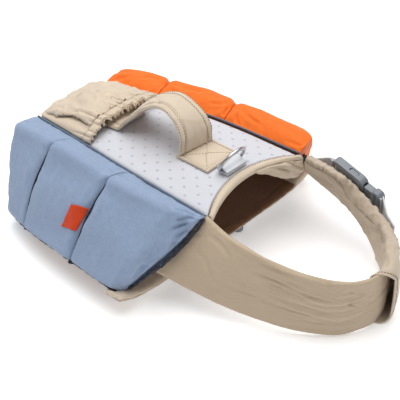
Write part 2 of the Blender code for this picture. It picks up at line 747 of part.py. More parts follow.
def belly_columns(position):
    """Distance from the middle and height of the belly panel's underside, from the middle outwards."""
    _, _, hem, inner = float_corners(1, position)
    edge = hem.lerp(inner, 0.36 - 0.26 * ease(position, 2.6, 3.0))
    lift = BELLY_LIFT * ease(position, *BELLY_LIFT_ROWS)
    under = BELLY_THICK + SEAM_GAP + BELLY_SLACK
    bend_z = inner.z - under
    return [
        (0.0, lift),
        ((inner.y - BELLY_FLAT_IN) / 2, lift),
        (inner.y - BELLY_FLAT_IN, lift),
        (inner.y - BELLY_SLOPE_IN, lift + 0.4 * (bend_z - lift)),
        (inner.y + 1.0, bend_z),
        (edge.y, edge.z - under),
    ]


def make_belly():
    rows = []
    for position in BELLY_ROWS:
        x = float_corners(1, position)[3].x
        left = [Vector((x, y, z)) for y, z in belly_columns(position)]
        right = [Vector((x, -y, z)) for y, z in reversed(belly_columns(position)[1:])]
        rows.append(right + left)
    sheet("belly_panel", upward(rows), "brown", BELLY_THICK, 1)


def make_belly_straps():
    turn = radians(BELLY_BUCKLE["turn"])
    middle = Vector((BELLY_BUCKLE["x"], BELLY_BUCKLE["y"], BELLY_BUCKLE["thick"] / 2))
    place = Matrix.Translation(middle * MM) @ Matrix.Rotation(turn + pi / 2, 4, "Z")
    make_buckle("belly", BELLY_BUCKLE["thick"], place)
    reach, heights = zip(*belly_columns(BELLY_STRAP_ROW))
    end_gap = 2 * SEAM_GAP
    for side, side_name, end in ((-1, "right", -SOCKET_LENGTH - end_gap), (1, "left", PLUG_LENGTH + end_gap)):
        joint = place @ (Vector((end, 0, 0)) * MM) / MM
        centres = []
        for y in BELLY_STRAP_Y:
            z = float(np.interp(y, reach, heights)) - BELLY_STRAP_DROP
            centres.append(Vector((middle.x, side * y, z)))
        centres += [centres[-1].lerp(joint, 0.5), joint]
        turned = place.to_3x3().col[1] * side
        turned = turned if turned.x * side > 0 else -turned
        widths = [Vector((side, 0, 0))] * len(BELLY_STRAP_Y) + [turned, turned]
        ribbon(f"belly_strap_{side_name}", centres, widths, "webbing")


def make_materials():
    for name, (red, green, blue, roughness, metallic) in COLOURS.items():
        material = bpy.data.materials.new(name)
        material.use_nodes = True
        shader = material.node_tree.nodes["Principled BSDF"]
        shader.inputs["Base Color"].default_value = (red, green, blue, 1)
        shader.inputs["Roughness"].default_value = roughness
        shader.inputs["Metallic"].default_value = metallic
        MATERIALS[name] = material


def clear_scene():
    for obj in list(bpy.data.objects):
        bpy.data.objects.remove(obj, do_unlink=True)


def new_collection(name):
    collection = bpy.data.collections.new(name)
    bpy.context.scene.collection.children.link(collection)
    return collection


clear_scene()
PARTS = new_collection(OBJECT_NAME)
CUTTERS = new_collection("cutters")
MATERIALS = {}
make_materials()
make_back()
for side, side_name, colour in ((-1, "right", "blue"), (1, "left", "orange")):
    make_float(side, side_name, colour)
    make_lining(side, side_name)
    make_piping(side, side_name)
make_tag()
make_collar()
make_pocket()
make_pocket_band()
make_handle()
make_patch()
make_ring_webbing()
make_lead_ring()
make_right_strap()
make_left_sleeve()
make_shoulder()
make_belly()
make_belly_straps()
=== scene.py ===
from math import cos, pi, radians, sin, tau

import bmesh
import bpy
import numpy as np
from mathutils import Matrix, Vector
from mathutils.bvhtree import BVHTree


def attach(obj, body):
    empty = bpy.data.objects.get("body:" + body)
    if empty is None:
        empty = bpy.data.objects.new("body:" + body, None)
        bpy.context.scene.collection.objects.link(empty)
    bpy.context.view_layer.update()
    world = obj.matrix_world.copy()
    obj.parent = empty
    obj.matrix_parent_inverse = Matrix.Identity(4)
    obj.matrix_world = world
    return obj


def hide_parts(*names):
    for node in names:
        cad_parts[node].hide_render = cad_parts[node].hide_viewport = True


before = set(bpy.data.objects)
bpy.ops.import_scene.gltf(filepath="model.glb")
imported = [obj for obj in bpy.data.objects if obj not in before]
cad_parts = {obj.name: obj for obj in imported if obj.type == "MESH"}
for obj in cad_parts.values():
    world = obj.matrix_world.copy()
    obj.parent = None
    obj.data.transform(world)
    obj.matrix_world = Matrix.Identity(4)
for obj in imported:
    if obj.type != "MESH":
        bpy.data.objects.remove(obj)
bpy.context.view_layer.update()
scene = bpy.context.scene
mm = 0.001  # tables and grids are in millimetres, meshes in metres
bothSides = ((-1, "right"), (1, "left"))

# View, floor and light

view = {"azimuth": 43.5, "elevation": 34.2, "roll": -2.7, "target": (30, -50, 80),
        "distance": 788, "lens": 90, "sensor": 36, "frame": 400}
light = {"key": 27, "keySize": 1.7, "keyAt": (-0.1, 0.12, 1.5), "fill": 0.5, "fillSize": 1.2,
         "fillAt": (1.3, -0.5, 0.8), "rim": 3, "rimAt": (-0.9, 0.9, 0.9), "world": 0.31,
         "sky": (0.95, 0.97, 1, 1), "warm": (1, 0.99, 0.975), "cool": (0.96, 0.98, 1),
         "floor": (0.93, 0.93, 0.935, 1), "glow": 0.3}


def unit(vector):
    vector = np.asarray(vector, float)
    return vector / np.maximum(np.linalg.norm(vector, axis=-1, keepdims=True), 1e-9)


def newObject(name, data):
    obj = bpy.data.objects.new(name, data)
    scene.collection.objects.link(obj)
    return obj


def pick(*chosen):
    bpy.ops.object.select_all(action="DESELECT")
    for obj in chosen:
        obj.select_set(True)
    if chosen:
        bpy.context.view_layer.objects.active = chosen[0]


def viewAxes():
    turn, tilt, roll = radians(view["azimuth"]), radians(view["elevation"]), radians(view["roll"])
    back = np.array((sin(turn) * cos(tilt), -cos(turn) * cos(tilt), sin(tilt)))
    right = np.array((cos(turn), sin(turn), 0))
    up = np.cross(back, right)
    return right * cos(roll) + up * sin(roll), up * cos(roll) - right * sin(roll), back


viewSide, viewUp, viewBack = viewAxes()
eye = np.array(view["target"]) + viewBack * view["distance"]


def makeView():
    data = bpy.data.cameras.new("view")
    data.lens, data.sensor_width, data.clip_start = view["lens"], view["sensor"], 0.01
    camera = newObject("view", data)
    turn = Matrix((viewSide, viewUp, viewBack)).transposed().to_4x4()
    camera.matrix_world = Matrix.Translation(Vector(eye) * mm) @ turn
    scene.camera = camera


def makeLight(name, power, size, place, colour):
    data = bpy.data.lights.new(name, "AREA")
    data.energy, data.size, data.color = power, size, colour
    lamp = newObject(name, data)
    lamp.location = place
    lamp.rotation_euler = (Vector(place) - Vector((0, 0, 0.05))).to_track_quat("Z", "Y").to_euler()


def feed(tree, node, **inputs):
    # sets or links inputs of a node, given by name or, as at0, by number
    for key, value in inputs.items():
        socket = node.inputs[int(key[2:]) if key.startswith("at") else key.replace("_", " ")]
        if isinstance(value, bpy.types.NodeSocket):
            tree.links.new(value, socket)
        else:
            socket.default_value = value


def makeRoom():
    makeLight("keyLight", light["key"], light["keySize"], light["keyAt"], light["warm"])
    makeLight("fillLight", light["fill"], light["fillSize"], light["fillAt"], light["cool"])
    makeLight("rimLight", light["rim"], light["fillSize"], light["rimAt"], light["cool"])
    world = bpy.data.worlds.new("softRoom")
    world.use_nodes = True
    feed(world.node_tree, world.node_tree.nodes["Background"], Color=light["sky"], Strength=light["world"])
    scene.world = world
    scene.view_settings.view_transform = "Standard"
    pick()
    bpy.ops.mesh.primitive_grid_add(x_subdivisions=24, y_subdivisions=24, size=30, location=(0, 0, -0.0002))
    floor = bpy.context.active_object
    floor.name = "floor"
    paint = bpy.data.materials.new("floorPaint")
    paint.use_nodes = True
    feed(paint.node_tree, paint.node_tree.nodes["Principled BSDF"], Base_Color=light["floor"], Roughness=0.9,
         Emission_Color=(1, 1, 1, 1), Emission_Strength=light["glow"])
    floor.data.materials.append(paint)


makeView()
makeRoom()
print("view, floor and light are set")


# Curves and grids

def along(rows, place):
    table = np.array(rows, float)
    last = len(table) - 1
    index = min(max(int(place), 0), last - 1)
    t = place - index
    here, after = table[index], table[index + 1]
    before = table[index - 1] if index > 0 else 2 * here - after
    beyond = table[index + 2] if index + 2 <= last else 2 * after - here
    return 0.5 * (2 * here + (after - before) * t + (2 * before - 5 * here + 4 * after - beyond) * t * t
                  + (3 * here - before - 3 * after + beyond) * t ** 3)


def valueAt(table, place):
    return np.interp(place, *zip(*table))


def ease(value, start, end):
    t = np.clip((np.asarray(value, float) - start) / (end - start), 0, 1)
    return t * t * (3 - 2 * t)


def rising(value, reach):
    return np.clip(value / reach, 0, 1)


def bell(value, middle, width):
    return np.exp(-((value - middle) / width) ** 2)


def inLine(values):
    return np.stack((values, values * 0, values * 0), axis=-1)


def sampled(line, known, wanted):
    # points of a line whose distances are known, at other distances
    return np.stack([np.interp(wanted, known, line[:, k]) for k in range(3)], axis=-1)


def evened(line, count):
    return sampled(line, np.linspace(0, 1, len(line)), np.linspace(0, 1, count))


def runOf(path):
    return np.concatenate(([0], np.linalg.norm(np.diff(path, axis=0), axis=1).cumsum()))


def blurred(values, times):
    for _ in range(times):
        values[1:-1] = 0.25 * values[:-2] + 0.5 * values[1:-1] + 0.25 * values[2:]
    return values


def towards(vector, way):
    return vector if vector @ np.asarray(way, float) > 0 else -vector


def rope(path, wide, out, points, shape=(1, 1), size=1, blunt=1):
    # rings of points round a path
    turn = np.linspace(0, tau, points + 1)[:-1, None]
    flat = np.sign(np.cos(turn)) * np.abs(np.cos(turn)) ** blunt
    ring = shape[0] * flat * wide[..., None, :] + shape[1] * np.sin(turn) * out[..., None, :]
    return path[:, None] + ring * np.reshape(size, (-1, 1, 1))


def edgedShares(length, step, soft=0):
    # shares of a length, closer together within the soft distance of both ends
    near = [0] + ([0.08 * soft, 0.3 * soft, 0.62 * soft, soft] if soft else [])
    count = max(int((length - 2 * near[-1]) / step) // 2 * 2, 2)
    middle = np.linspace(near[-1], length - near[-1], count + 1)
    places = near[:-1] + list(middle) + [length - d for d in reversed(near[:-1])]
    return np.array(places) / length


def steps(grid):
    # distances along both directions of a grid, summed from the first row and the first column
    down = np.zeros(grid.shape[:2])
    down[1:] = np.cumsum(np.linalg.norm(np.diff(grid, axis=0), axis=2), axis=0)
    across = np.zeros(grid.shape[:2])
    across[:, 1:] = np.cumsum(np.linalg.norm(np.diff(grid, axis=1), axis=2), axis=1)
    return down, across


def fromSides(across):
    return np.minimum(across, across[:, -1:] - across)


def fromEnds(down):
    return np.minimum(down, down[-1:] - down)


def gridNormals(grid, closed=False):
    along0 = np.gradient(grid, axis=0)
    if closed:
        along1 = np.roll(grid, -1, axis=1) - np.roll(grid, 1, axis=1)
    else:
        along1 = np.gradient(grid, axis=1)
    return unit(np.cross(along0, along1))


def lifted(grid, height):
    return grid + gridNormals(grid) * height[..., None]


def gridFaces(rows, columns, closed=False):
    i, j = np.meshgrid(np.arange(rows - 1), np.arange(columns if closed else columns - 1), indexing="ij")
    k = (j + 1) % columns
    return np.stack((i * columns + j, (i + 1) * columns + j, (i + 1) * columns + k, i * columns + k),
                    axis=-1).reshape(-1, 4)


def gridTree(grid, closed=False):
    faces = gridFaces(*grid.shape[:2], closed)
    return BVHTree.FromPolygons(grid.reshape(-1, 3).tolist(), faces.tolist())


def spot(tree, place):
    # where a spot of the 400 by 400 view, or a point in millimetres, lies on a surface
    if len(place) == 3:
        point, normal, _, _ = tree.find_nearest(Vector(place))
        return np.array(point), np.array(normal)
    half = view["frame"] / 2
    reach = view["sensor"] / 2 / view["lens"]
    ray = unit(viewSide * (place[0] / half - 1) * reach + viewUp * (1 - place[1] / half) * reach - viewBack)
    point, normal, _, _ = tree.ray_cast(Vector(eye), Vector(ray))
    if point is None:
        tries = [tree.find_nearest(Vector(eye + ray * d)) for d in np.linspace(560, 1000, 111)]
        point, normal, _, _ = min(tries, key=lambda found: found[3])
    normal = np.array(normal)
    return np.array(point), normal if normal @ ray < 0 else -normal


def waves(points, size, seed, count=14):
    # smooth unrepeating noise of about -1.5 to 1.5, in lumps of the given size
    table = np.random.RandomState(seed)
    total = 0
    for _ in range(count):
        way = unit(table.normal(size=3))
        length = size * table.uniform(0.75, 1.5)
        total = total + np.sin(points @ way * tau / length + table.uniform(0, tau))
    return total / (count / 2) ** 0.5


def ridges(noise, sharp, power):
    return np.clip(1 - np.abs(noise) * sharp, 0, 1) ** power


def crinkles(points, size, seed):
    # thin raised lines that wander, as nylon keeps after it was crushed
    return ridges(waves(points, size, seed), 1.6, 1.5)


def puckers(place, away, pitch, reach, height, seed):
    # short wrinkles across a sewn line: place runs along it and away is the distance from it
    wander = inLine(place)
    phase = place / pitch * tau + 2.2 * waves(wander, pitch * 3.1, seed)
    strength = 0.65 + 0.35 * waves(wander, pitch * 2.3, seed + 1)
    return height * np.sin(phase) * strength * np.exp(-np.clip(away, 0, None) / reach)


def foldHeights(points, folds, closed=False):
    # height over a grid of all listed folds, below zero for a trough. A row holds the places on a fold's
    # path, as spots of the view or, where its count is odd, as points in millimetres, its width and height.
    normals, tree = gridNormals(points, closed), gridTree(points, closed)
    total = np.zeros(points.shape[:-1])
    for *path, width, height in folds:
        places = np.reshape(path, (-1, 3 if len(path) % 2 else 2))
        knots = [spot(tree, place)[0] for place in places]
        nearest = [np.argmin(np.linalg.norm(points - knot, axis=-1)) for knot in knots]
        knots = [(knot, normals.reshape(-1, 3)[index]) for knot, index in zip(knots, nearest)]
        lengths = [np.linalg.norm(b[0] - a[0]) for a, b in zip(knots, knots[1:])]
        whole = max(sum(lengths), 1e-6)
        best = np.full(points.shape[:-1], 1e9)
        share = np.zeros(points.shape[:-1])
        facing = np.zeros(points.shape[:-1])
        passed = 0
        for (a, normalA), (b, normalB), length in zip(knots, knots[1:], lengths):
            run = b - a
            t = np.clip(((points - a) @ run) / max(run @ run, 1e-9), 0, 1)
            gap = np.linalg.norm(points - (a + t[..., None] * run), axis=-1)
            nearer = gap < best
            best = np.where(nearer, gap, best)
            share = np.where(nearer, (passed + t * length) / whole, share)
            facing = np.where(nearer, np.clip(2 * (normals @ unit(normalA + normalB)), 0, 1), facing)
            passed += length
        taper = ease(share, -0.05, 0.28) * ease(1 - share, -0.05, 0.28)
        w = width * (0.6 + 0.4 * taper)
        shape = bell(best, 0, w) - 0.32 * bell(best / w, 1.9, 0.9)
        total += height * taper * shape * facing
    return total


# Meshes

def meshObject(name, points, faces, uvs, material):
    # uvs holds one pair for each corner of each face, in metres of cloth
    mesh = bpy.data.meshes.new(name)
    mesh.from_pydata((np.asarray(points) * mm).tolist(), [], [tuple(int(i) for i in f) for f in faces])
    layer = mesh.uv_layers.new(name="cloth")
    layer.data.foreach_set("uv", np.asarray(uvs, np.float32).ravel())
    mesh.polygons.foreach_set("use_smooth", [True] * len(mesh.polygons))
    mesh.materials.append(mats[material])
    mesh.update()
    shape = bmesh.new()
    shape.from_mesh(mesh)
    if shape.calc_volume(signed=True) < 0:
        mesh.flip_normals()
    shape.free()
    return newObject(name, mesh)


def slab(name, grid, thick, material, lean=0.5, edge=None, high=None, low=None):
    # cloth with rounded edges on a grid of its middle (lean 0.5), its lower (1) or its upper face (0). high
    # and low add to its two faces.
    rows, columns = grid.shape[:2]
    normals = gridNormals(grid)
    down, across = steps(grid)
    border = np.minimum(fromSides(across), fromEnds(down))
    edge = edge or thick / 2
    full = np.sqrt(np.clip(1 - (1 - rising(border, edge)) ** 2, 0, 1))
    half = (thick / 2 * full)[..., None]
    centre = grid + normals * thick * (lean - 0.5)
    inside = (full > 0)[..., None]
    top = centre + normals * (half + inside * (0 if high is None else high[..., None]))
    bottom = centre - normals * (half + inside * (0 if low is None else low[..., None]))
    rim = np.zeros((rows, columns), bool)
    rim[0], rim[-1], rim[:, 0], rim[:, -1] = True, True, True, True
    top[rim] = bottom[rim] = centre[rim]
    index = np.arange(rows * columns).reshape(rows, columns)
    under = index.copy()
    under[~rim] = rows * columns + np.arange((~rim).sum())
    quads = gridFaces(rows, columns)
    upper = index.ravel()[quads]
    lower = under.ravel()[quads][:, ::-1]
    cloth = np.stack((down, across), axis=-1).reshape(-1, 2) * mm
    uvs = np.concatenate((cloth[quads], cloth[quads][:, ::-1]))
    points = np.concatenate((top.reshape(-1, 3), bottom[~rim]))
    obj = meshObject(name, points, np.concatenate((upper, lower)), uvs.reshape(-1, 2), material)
    return obj, top, gridNormals(top)


def tube(name, grid, material):
    # a closed form through rings of points. Each end closes on a middle point.
    rows, columns = grid.shape[:2]
    down, across = steps(grid)
    points = grid.reshape(-1, 3)
    quads = gridFaces(rows, columns, True)
    girth = across[:, -1] + np.linalg.norm(grid[:, 0] - grid[:, -1], axis=1)
    wide = np.concatenate((across, girth[:, None]), axis=1)
    long = np.concatenate((down, down[:, :1]), axis=1)
    i, j = np.meshgrid(np.arange(rows - 1), np.arange(columns), indexing="ij")
    corners = [(i, j), (i + 1, j), (i + 1, j + 1), (i, j + 1)]
    uvs = np.stack([np.stack((long[c], wide[c]), axis=-1) for c in corners], axis=-2).reshape(-1, 2) * mm
    faces, uvs = quads.tolist(), uvs.tolist()
    for row, flip in ((0, False), (rows - 1, True)):
        middle = len(points)
        points = np.concatenate((points, [grid[row].mean(axis=0)]))
        for c in range(columns):
            d = (c + 1) % columns
            faces.append((middle, row * columns + c, row * columns + d)[::-1 if flip else 1])
            uvs += [(0, 0), (0, 0.001), (0.001, 0)]
    return meshObject(name, points, faces, uvs, material)


def declare(obj, nodes, body="jacket"):
    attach(obj, body)
    if nodes:
        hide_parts(*nodes)


def sewTube(name, grid, material, nodes):
    # a closed piece, attached to the jacket body with the CAD parts it replaces hidden
    obj = tube(name, grid, material)
    declare(obj, nodes)


def sew(name, grid, thick, material, nodes, slot, cut, held, on, **shape):
    # a piece of cloth, attached to the jacket body with the CAD parts it replaces hidden
    obj, top, normals = slab(name, grid, thick, material, **shape)
    declare(obj, nodes)
    return top, normals


# Materials

def tone(red, green, blue):
    # a screen colour of 0 to 255 as Blender's linear one
    parts = [v / 255 for v in (red, green, blue)]
    return tuple(v / 12.92 if v <= 0.04045 else ((v + 0.055) / 1.055) ** 2.4 for v in parts) + (1,)


def put(tree, kind, settings=None, **inputs):
    made = tree.nodes.new(kind)
    for key, value in (settings or {}).items():
        setattr(made, key, value)
    feed(tree, made, **inputs)
    return made


def maths(tree, operation, first, second=0):
    return put(tree, "ShaderNodeMath", {"operation": operation}, at0=first, at1=second).outputs[0]


def plus(tree, first, second):
    return maths(tree, "ADD", first, second)


def times(tree, first, second):
    return maths(tree, "MULTIPLY", first, second)


def mixed(tree, share, first, second):
    return put(tree, "ShaderNodeMix", {"data_type": "RGBA"}, at0=share, at6=first, at7=second).outputs[2]


def noise(tree, place, scale, detail=2, output=0, **more):
    return put(tree, "ShaderNodeTexNoise", Vector=place, Scale=scale, Detail=detail, **more).outputs[output]


def vectors(tree, operation, first, **inputs):
    return put(tree, "ShaderNodeVectorMath", {"operation": operation}, at0=first, **inputs).outputs


def coordinates(tree):
    # places on the object and on the cloth
    return (put(tree, "ShaderNodeTexCoord").outputs["Object"],
            put(tree, "ShaderNodeUVMap", {"uv_map": "cloth"}).outputs[0])


def newGroup(name, inputs, outputs):
    tree = bpy.data.node_groups.new(name, "ShaderNodeTree")
    for label, kind, value in inputs:
        socket = tree.interface.new_socket(label, in_out="INPUT", socket_type="NodeSocket" + kind)
        if value is not None:
            socket.default_value = value
    for label, kind in outputs:
        tree.interface.new_socket(label, in_out="OUTPUT", socket_type="NodeSocket" + kind)
    return tree, tree.nodes.new("NodeGroupInput").outputs, tree.nodes.new("NodeGroupOutput")


def makeWeave():
    # plain weave: threads that pass over and under each other, with a height, and a tone with painted
    # highlight on the threads' tops and painted shade between them
    tree, given, out = newGroup("weave", [("Cloth", "Vector", None), ("Threads", "Float", 900),
                                          ("Uneven", "Float", 0.3)], [("Height", "Float"), ("Tone", "Float")])
    wander = noise(tree, given["Cloth"], 260, 1, "Color")
    shift = vectors(tree, "SCALE", wander, Scale=0.0009)[0]
    parts = put(tree, "ShaderNodeSeparateXYZ", Vector=vectors(tree, "ADD", given["Cloth"], at1=shift)[0])
    turns = [times(tree, times(tree, parts.outputs[n], given["Threads"]), pi) for n in (0, 1)]
    domes = [maths(tree, "ABSOLUTE", maths(tree, "SINE", turn)) for turn in turns]
    swings = [maths(tree, "COSINE", turn) for turn in turns]
    over = plus(tree, times(tree, times(tree, *swings), 0.5), 0.5)
    warp = times(tree, domes[0], over)
    weft = times(tree, domes[1], maths(tree, "SUBTRACT", 1, over))
    height = maths(tree, "MAXIMUM", warp, weft)
    loose = times(tree, maths(tree, "SUBTRACT", noise(tree, given["Cloth"], 700), 0.5), given["Uneven"])
    # Tone: painted highlight and painted shade that follow the weave's height, with random unevenness
    feed(tree, out, Height=plus(tree, height, loose), Tone=plus(tree, times(tree, height, 0.35), loose))
    return tree


def makeHeather():
    # short light and dark flecks along both threads of a two-tone yarn
    tree, given, out = newGroup("heather", [("Cloth", "Vector", None), ("Fleck", "Float", 700),
                                            ("Contrast", "Float", 1)], [("Tone", "Float")])
    flecks = []
    for stretch in ((0.22, 1, 1), (1, 0.22, 1)):
        laid = put(tree, "ShaderNodeMapping", Vector=given["Cloth"], Scale=stretch)
        fleck = noise(tree, laid.outputs[0], given["Fleck"], Roughness=0.6)
        flecks.append(maths(tree, "SUBTRACT", fleck, 0.5))
    both = times(tree, plus(tree, *flecks), given["Contrast"])
    feed(tree, out, Tone=plus(tree, both, 0.5))
    return tree


def makeHandling():
    # cloudy change of tone and shallow crush marks that soft cloth has from being handled
    tree, given, out = newGroup("handling", [("Place", "Vector", None), ("Size", "Float", 30),
                                             ("Amount", "Float", 1)],
                                [("Tone", "Float"), ("Height", "Float")])
    cloud = noise(tree, given["Place"], given["Size"], 3)
    crush = put(tree, "ShaderNodeTexNoise", {"noise_type": "RIDGED_MULTIFRACTAL"}, Vector=given["Place"],
                Scale=times(tree, given["Size"], 2.2), Detail=2, Distortion=0.6)
    light = times(tree, maths(tree, "SUBTRACT", cloud, 0.5), given["Amount"])
    feed(tree, out, Tone=plus(tree, light, 0.5), Height=times(tree, crush.outputs[0], given["Amount"]))
    return tree


groups = {"weave": makeWeave(), "heather": makeHeather(), "handling": makeHandling()}


def group(tree, name, **inputs):
    return put(tree, "ShaderNodeGroup", {"node_tree": groups[name]}, **inputs).outputs


def newMaterial(name, roughness, **constants):
    material = bpy.data.materials.new(name)
    material.use_nodes = True
    tree = material.node_tree
    shader = tree.nodes["Principled BSDF"]
    feed(tree, shader, Roughness=roughness, **constants)
    return material, tree, shader


def bump(tree, shader, height, distance, strength):
    made = put(tree, "ShaderNodeBump", Height=height, Distance=distance, Strength=strength)
    feed(tree, shader, Normal=made.outputs[0])


clothKeys = ("colour", "dark", "threads", "fleck", "contrast", "crush", "rough", "sheen", "bump")
cloths = {
    "tanNylon": ((228, 212, 191), (200, 182, 159), 1500, 900, 0.55, 0.5, 0.62, 0.18, 0.00005),
    # the strap and the sleeve take copies of the tan nylon painted darker, as painted shade; the sleeve's
    # copy is lighter than the strap's, to make up for the shadow on its band
    "shadedTanStrap": ((209, 189, 164), (176, 156, 131), 1300, 800, 0.6, 0.7, 0.66, 0.15, 0.00006),
    "shadedTanSleeve": ((214, 198, 178), (184, 167, 146), 1300, 800, 0.6, 0.7, 0.66, 0.15, 0.00006),
    "blueNylon": ((160, 178, 204), (128, 147, 177), 1300, 620, 1, 0.35, 0.7, 0.12, 0.00006),
    "orangeNylon": ((255, 132, 34), (240, 98, 16), 1300, 620, 0.9, 0.35, 0.62, 0.06, 0.00006),
    "brownLining": ((146, 108, 80), (108, 78, 56), 1100, 700, 0.9, 0.6, 0.85, 0.1, 0.00006),
    "greyWebbing": ((234, 236, 240), (206, 209, 215), 620, 500, 0.7, 0.2, 0.7, 0.1, 0.00012),
    "orangeTape": ((226, 76, 22), (190, 52, 12), 900, 600, 0.6, 0.2, 0.7, 0.05, 0.00008),
    "slateCord": ((112, 128, 148), (74, 88, 106), 1100, 700, 0.8, 0.2, 0.6, 0.1, 0.00006),
    "navyTape": ((48, 52, 66), (24, 27, 38), 900, 600, 0.8, 0.3, 0.75, 0.08, 0.0001),
    # shadedTanThread and shadedSeamThread are tan thread painted darker: the thread's own colour with painted
    # shade of the stitch grooves
    "shadedTanThread": ((158, 138, 110), (122, 102, 78), 2600, 1500, 0.4, 0.1, 0.6, 0.1, 0.00003),
    "rustBinding": ((142, 104, 72), (96, 64, 42), 1000, 650, 0.9, 0.6, 0.8, 0.1, 0.00007),
    "rustThread": ((168, 122, 82), (136, 94, 60), 2600, 1500, 0.4, 0.1, 0.6, 0.1, 0.00003),
    "shadedSeamThread": ((134, 114, 88), (100, 82, 60), 2600, 1500, 0.4, 0.1, 0.6, 0.1, 0.00003),
}


def makeCloth(name, row):
    look = dict(zip(clothKeys, row))
    material, tree, shader = newMaterial(name, look["rough"], Sheen_Weight=look["sheen"], Sheen_Roughness=0.5,
                                         Specular_IOR_Level=0.3)
    place, cloth = coordinates(tree)
    weave = group(tree, "weave", Cloth=cloth, Threads=look["threads"], Uneven=0.35)
    flecks = group(tree, "heather", Cloth=cloth, Fleck=look["fleck"], Contrast=look["contrast"])
    worn = group(tree, "handling", Place=place, Size=28, Amount=look["crush"])
    # the weave's share of the tone is painted highlight on thread tops and painted shade between them
    share = plus(tree, times(tree, flecks["Tone"], 0.62),
                 plus(tree, times(tree, worn["Tone"], 0.45), times(tree, weave["Tone"], 0.3)))
    share = maths(tree, "SUBTRACT", share, 0.1)
    feed(tree, shader, Base_Color=mixed(tree, share, tone(*look["dark"]), tone(*look["colour"])),
         Roughness=plus(tree, times(tree, worn["Tone"], 0.16), look["rough"] - 0.08))
    height = plus(tree, weave["Height"], times(tree, worn["Height"], look["crush"]))
    bump(tree, shader, height, look["bump"] * 6, 0.55)
    return material


dotCloth = {"colour": (212, 213, 219), "dark": (196, 197, 204), "dot": (150, 152, 162), "pitch": 0.0112,
            "size": 0.125}


def makeDotCloth():
    # knitted spacer cloth with a diagonal grid of small raised dots
    look = dotCloth
    material, tree, shader = newMaterial("dotCloth", 0.75, Sheen_Weight=0.15, Specular_IOR_Level=0.3)
    place, cloth = coordinates(tree)
    weave = group(tree, "weave", Cloth=cloth, Threads=1500, Uneven=0.5)
    worn = group(tree, "handling", Place=place, Size=22, Amount=0.5)
    turned = put(tree, "ShaderNodeMapping", Vector=cloth, Rotation=(0, 0, radians(45)),
                 Scale=(1 / look["pitch"],) * 3)
    cell = vectors(tree, "FRACTION", turned.outputs[0])[0]
    centred = vectors(tree, "SUBTRACT", cell, at1=(0.5, 0.5, 0))[0]
    flat = vectors(tree, "MULTIPLY", centred, at1=(1, 1, 0))[0]
    away = vectors(tree, "LENGTH", flat)["Value"]
    dot = put(tree, "ShaderNodeMapRange", {"interpolation_type": "SMOOTHSTEP"}, at0=away,
              at1=look["size"] * 1.25, at2=look["size"] * 0.55, at3=0, at4=1).outputs[0]
    flecks = group(tree, "heather", Cloth=cloth, Fleck=700, Contrast=0.6)
    share = plus(tree, times(tree, flecks["Tone"], 0.6), times(tree, worn["Tone"], 0.6))
    ground = mixed(tree, share, tone(*look["dark"]), tone(*look["colour"]))
    soft = times(tree, dot, maths(tree, "SUBTRACT", worn["Tone"], 0.02))
    feed(tree, shader, Base_Color=mixed(tree, soft, ground, tone(*look["dot"])))
    height = plus(tree, times(tree, dot, 1.6), times(tree, weave["Height"], 0.3))
    bump(tree, shader, height, 0.0004, 0.6)
    return material


mats = {name: makeCloth(name, row) for name, row in cloths.items()}
mats["dotCloth"] = makeDotCloth()


def makePlastic():
    # moulded acetal with a fine spark-eroded grain, rubbed brighter in places
    material, tree, shader = newMaterial("darkPlastic", 0.42, Specular_IOR_Level=0.5)
    place = put(tree, "ShaderNodeTexCoord").outputs["Object"]
    grain = noise(tree, place, 2600)
    worn = group(tree, "handling", Place=place, Size=60, Amount=0.8)
    feed(tree, shader, Base_Color=mixed(tree, worn["Tone"], tone(108, 113, 120), tone(138, 144, 151)),
         Roughness=plus(tree, times(tree, worn["Tone"], 0.22), 0.28))
    bump(tree, shader, grain, 0.00008, 0.35)
    return material


def makeSteel():
    # bent and polished wire with drawn lines and a little haze
    material, tree, shader = newMaterial("steelWire", 0.24, Metallic=1)
    place = put(tree, "ShaderNodeTexCoord").outputs["Object"]
    laid = put(tree, "ShaderNodeMapping", Vector=place, Scale=(3000, 260, 3000))
    drawn = noise(tree, laid.outputs[0], 1)
    worn = group(tree, "handling", Place=place, Size=120, Amount=0.9)
    feed(tree, shader, Base_Color=mixed(tree, worn["Tone"], tone(176, 177, 180), tone(214, 214, 216)),
         Roughness=plus(tree, times(tree, worn["Tone"], 0.2), 0.16))
    bump(tree, shader, drawn, 0.00004, 0.25)
    return material


mats["darkPlastic"] = makePlastic()
mats["steelWire"] = makeSteel()
print("materials are made")


# Floats

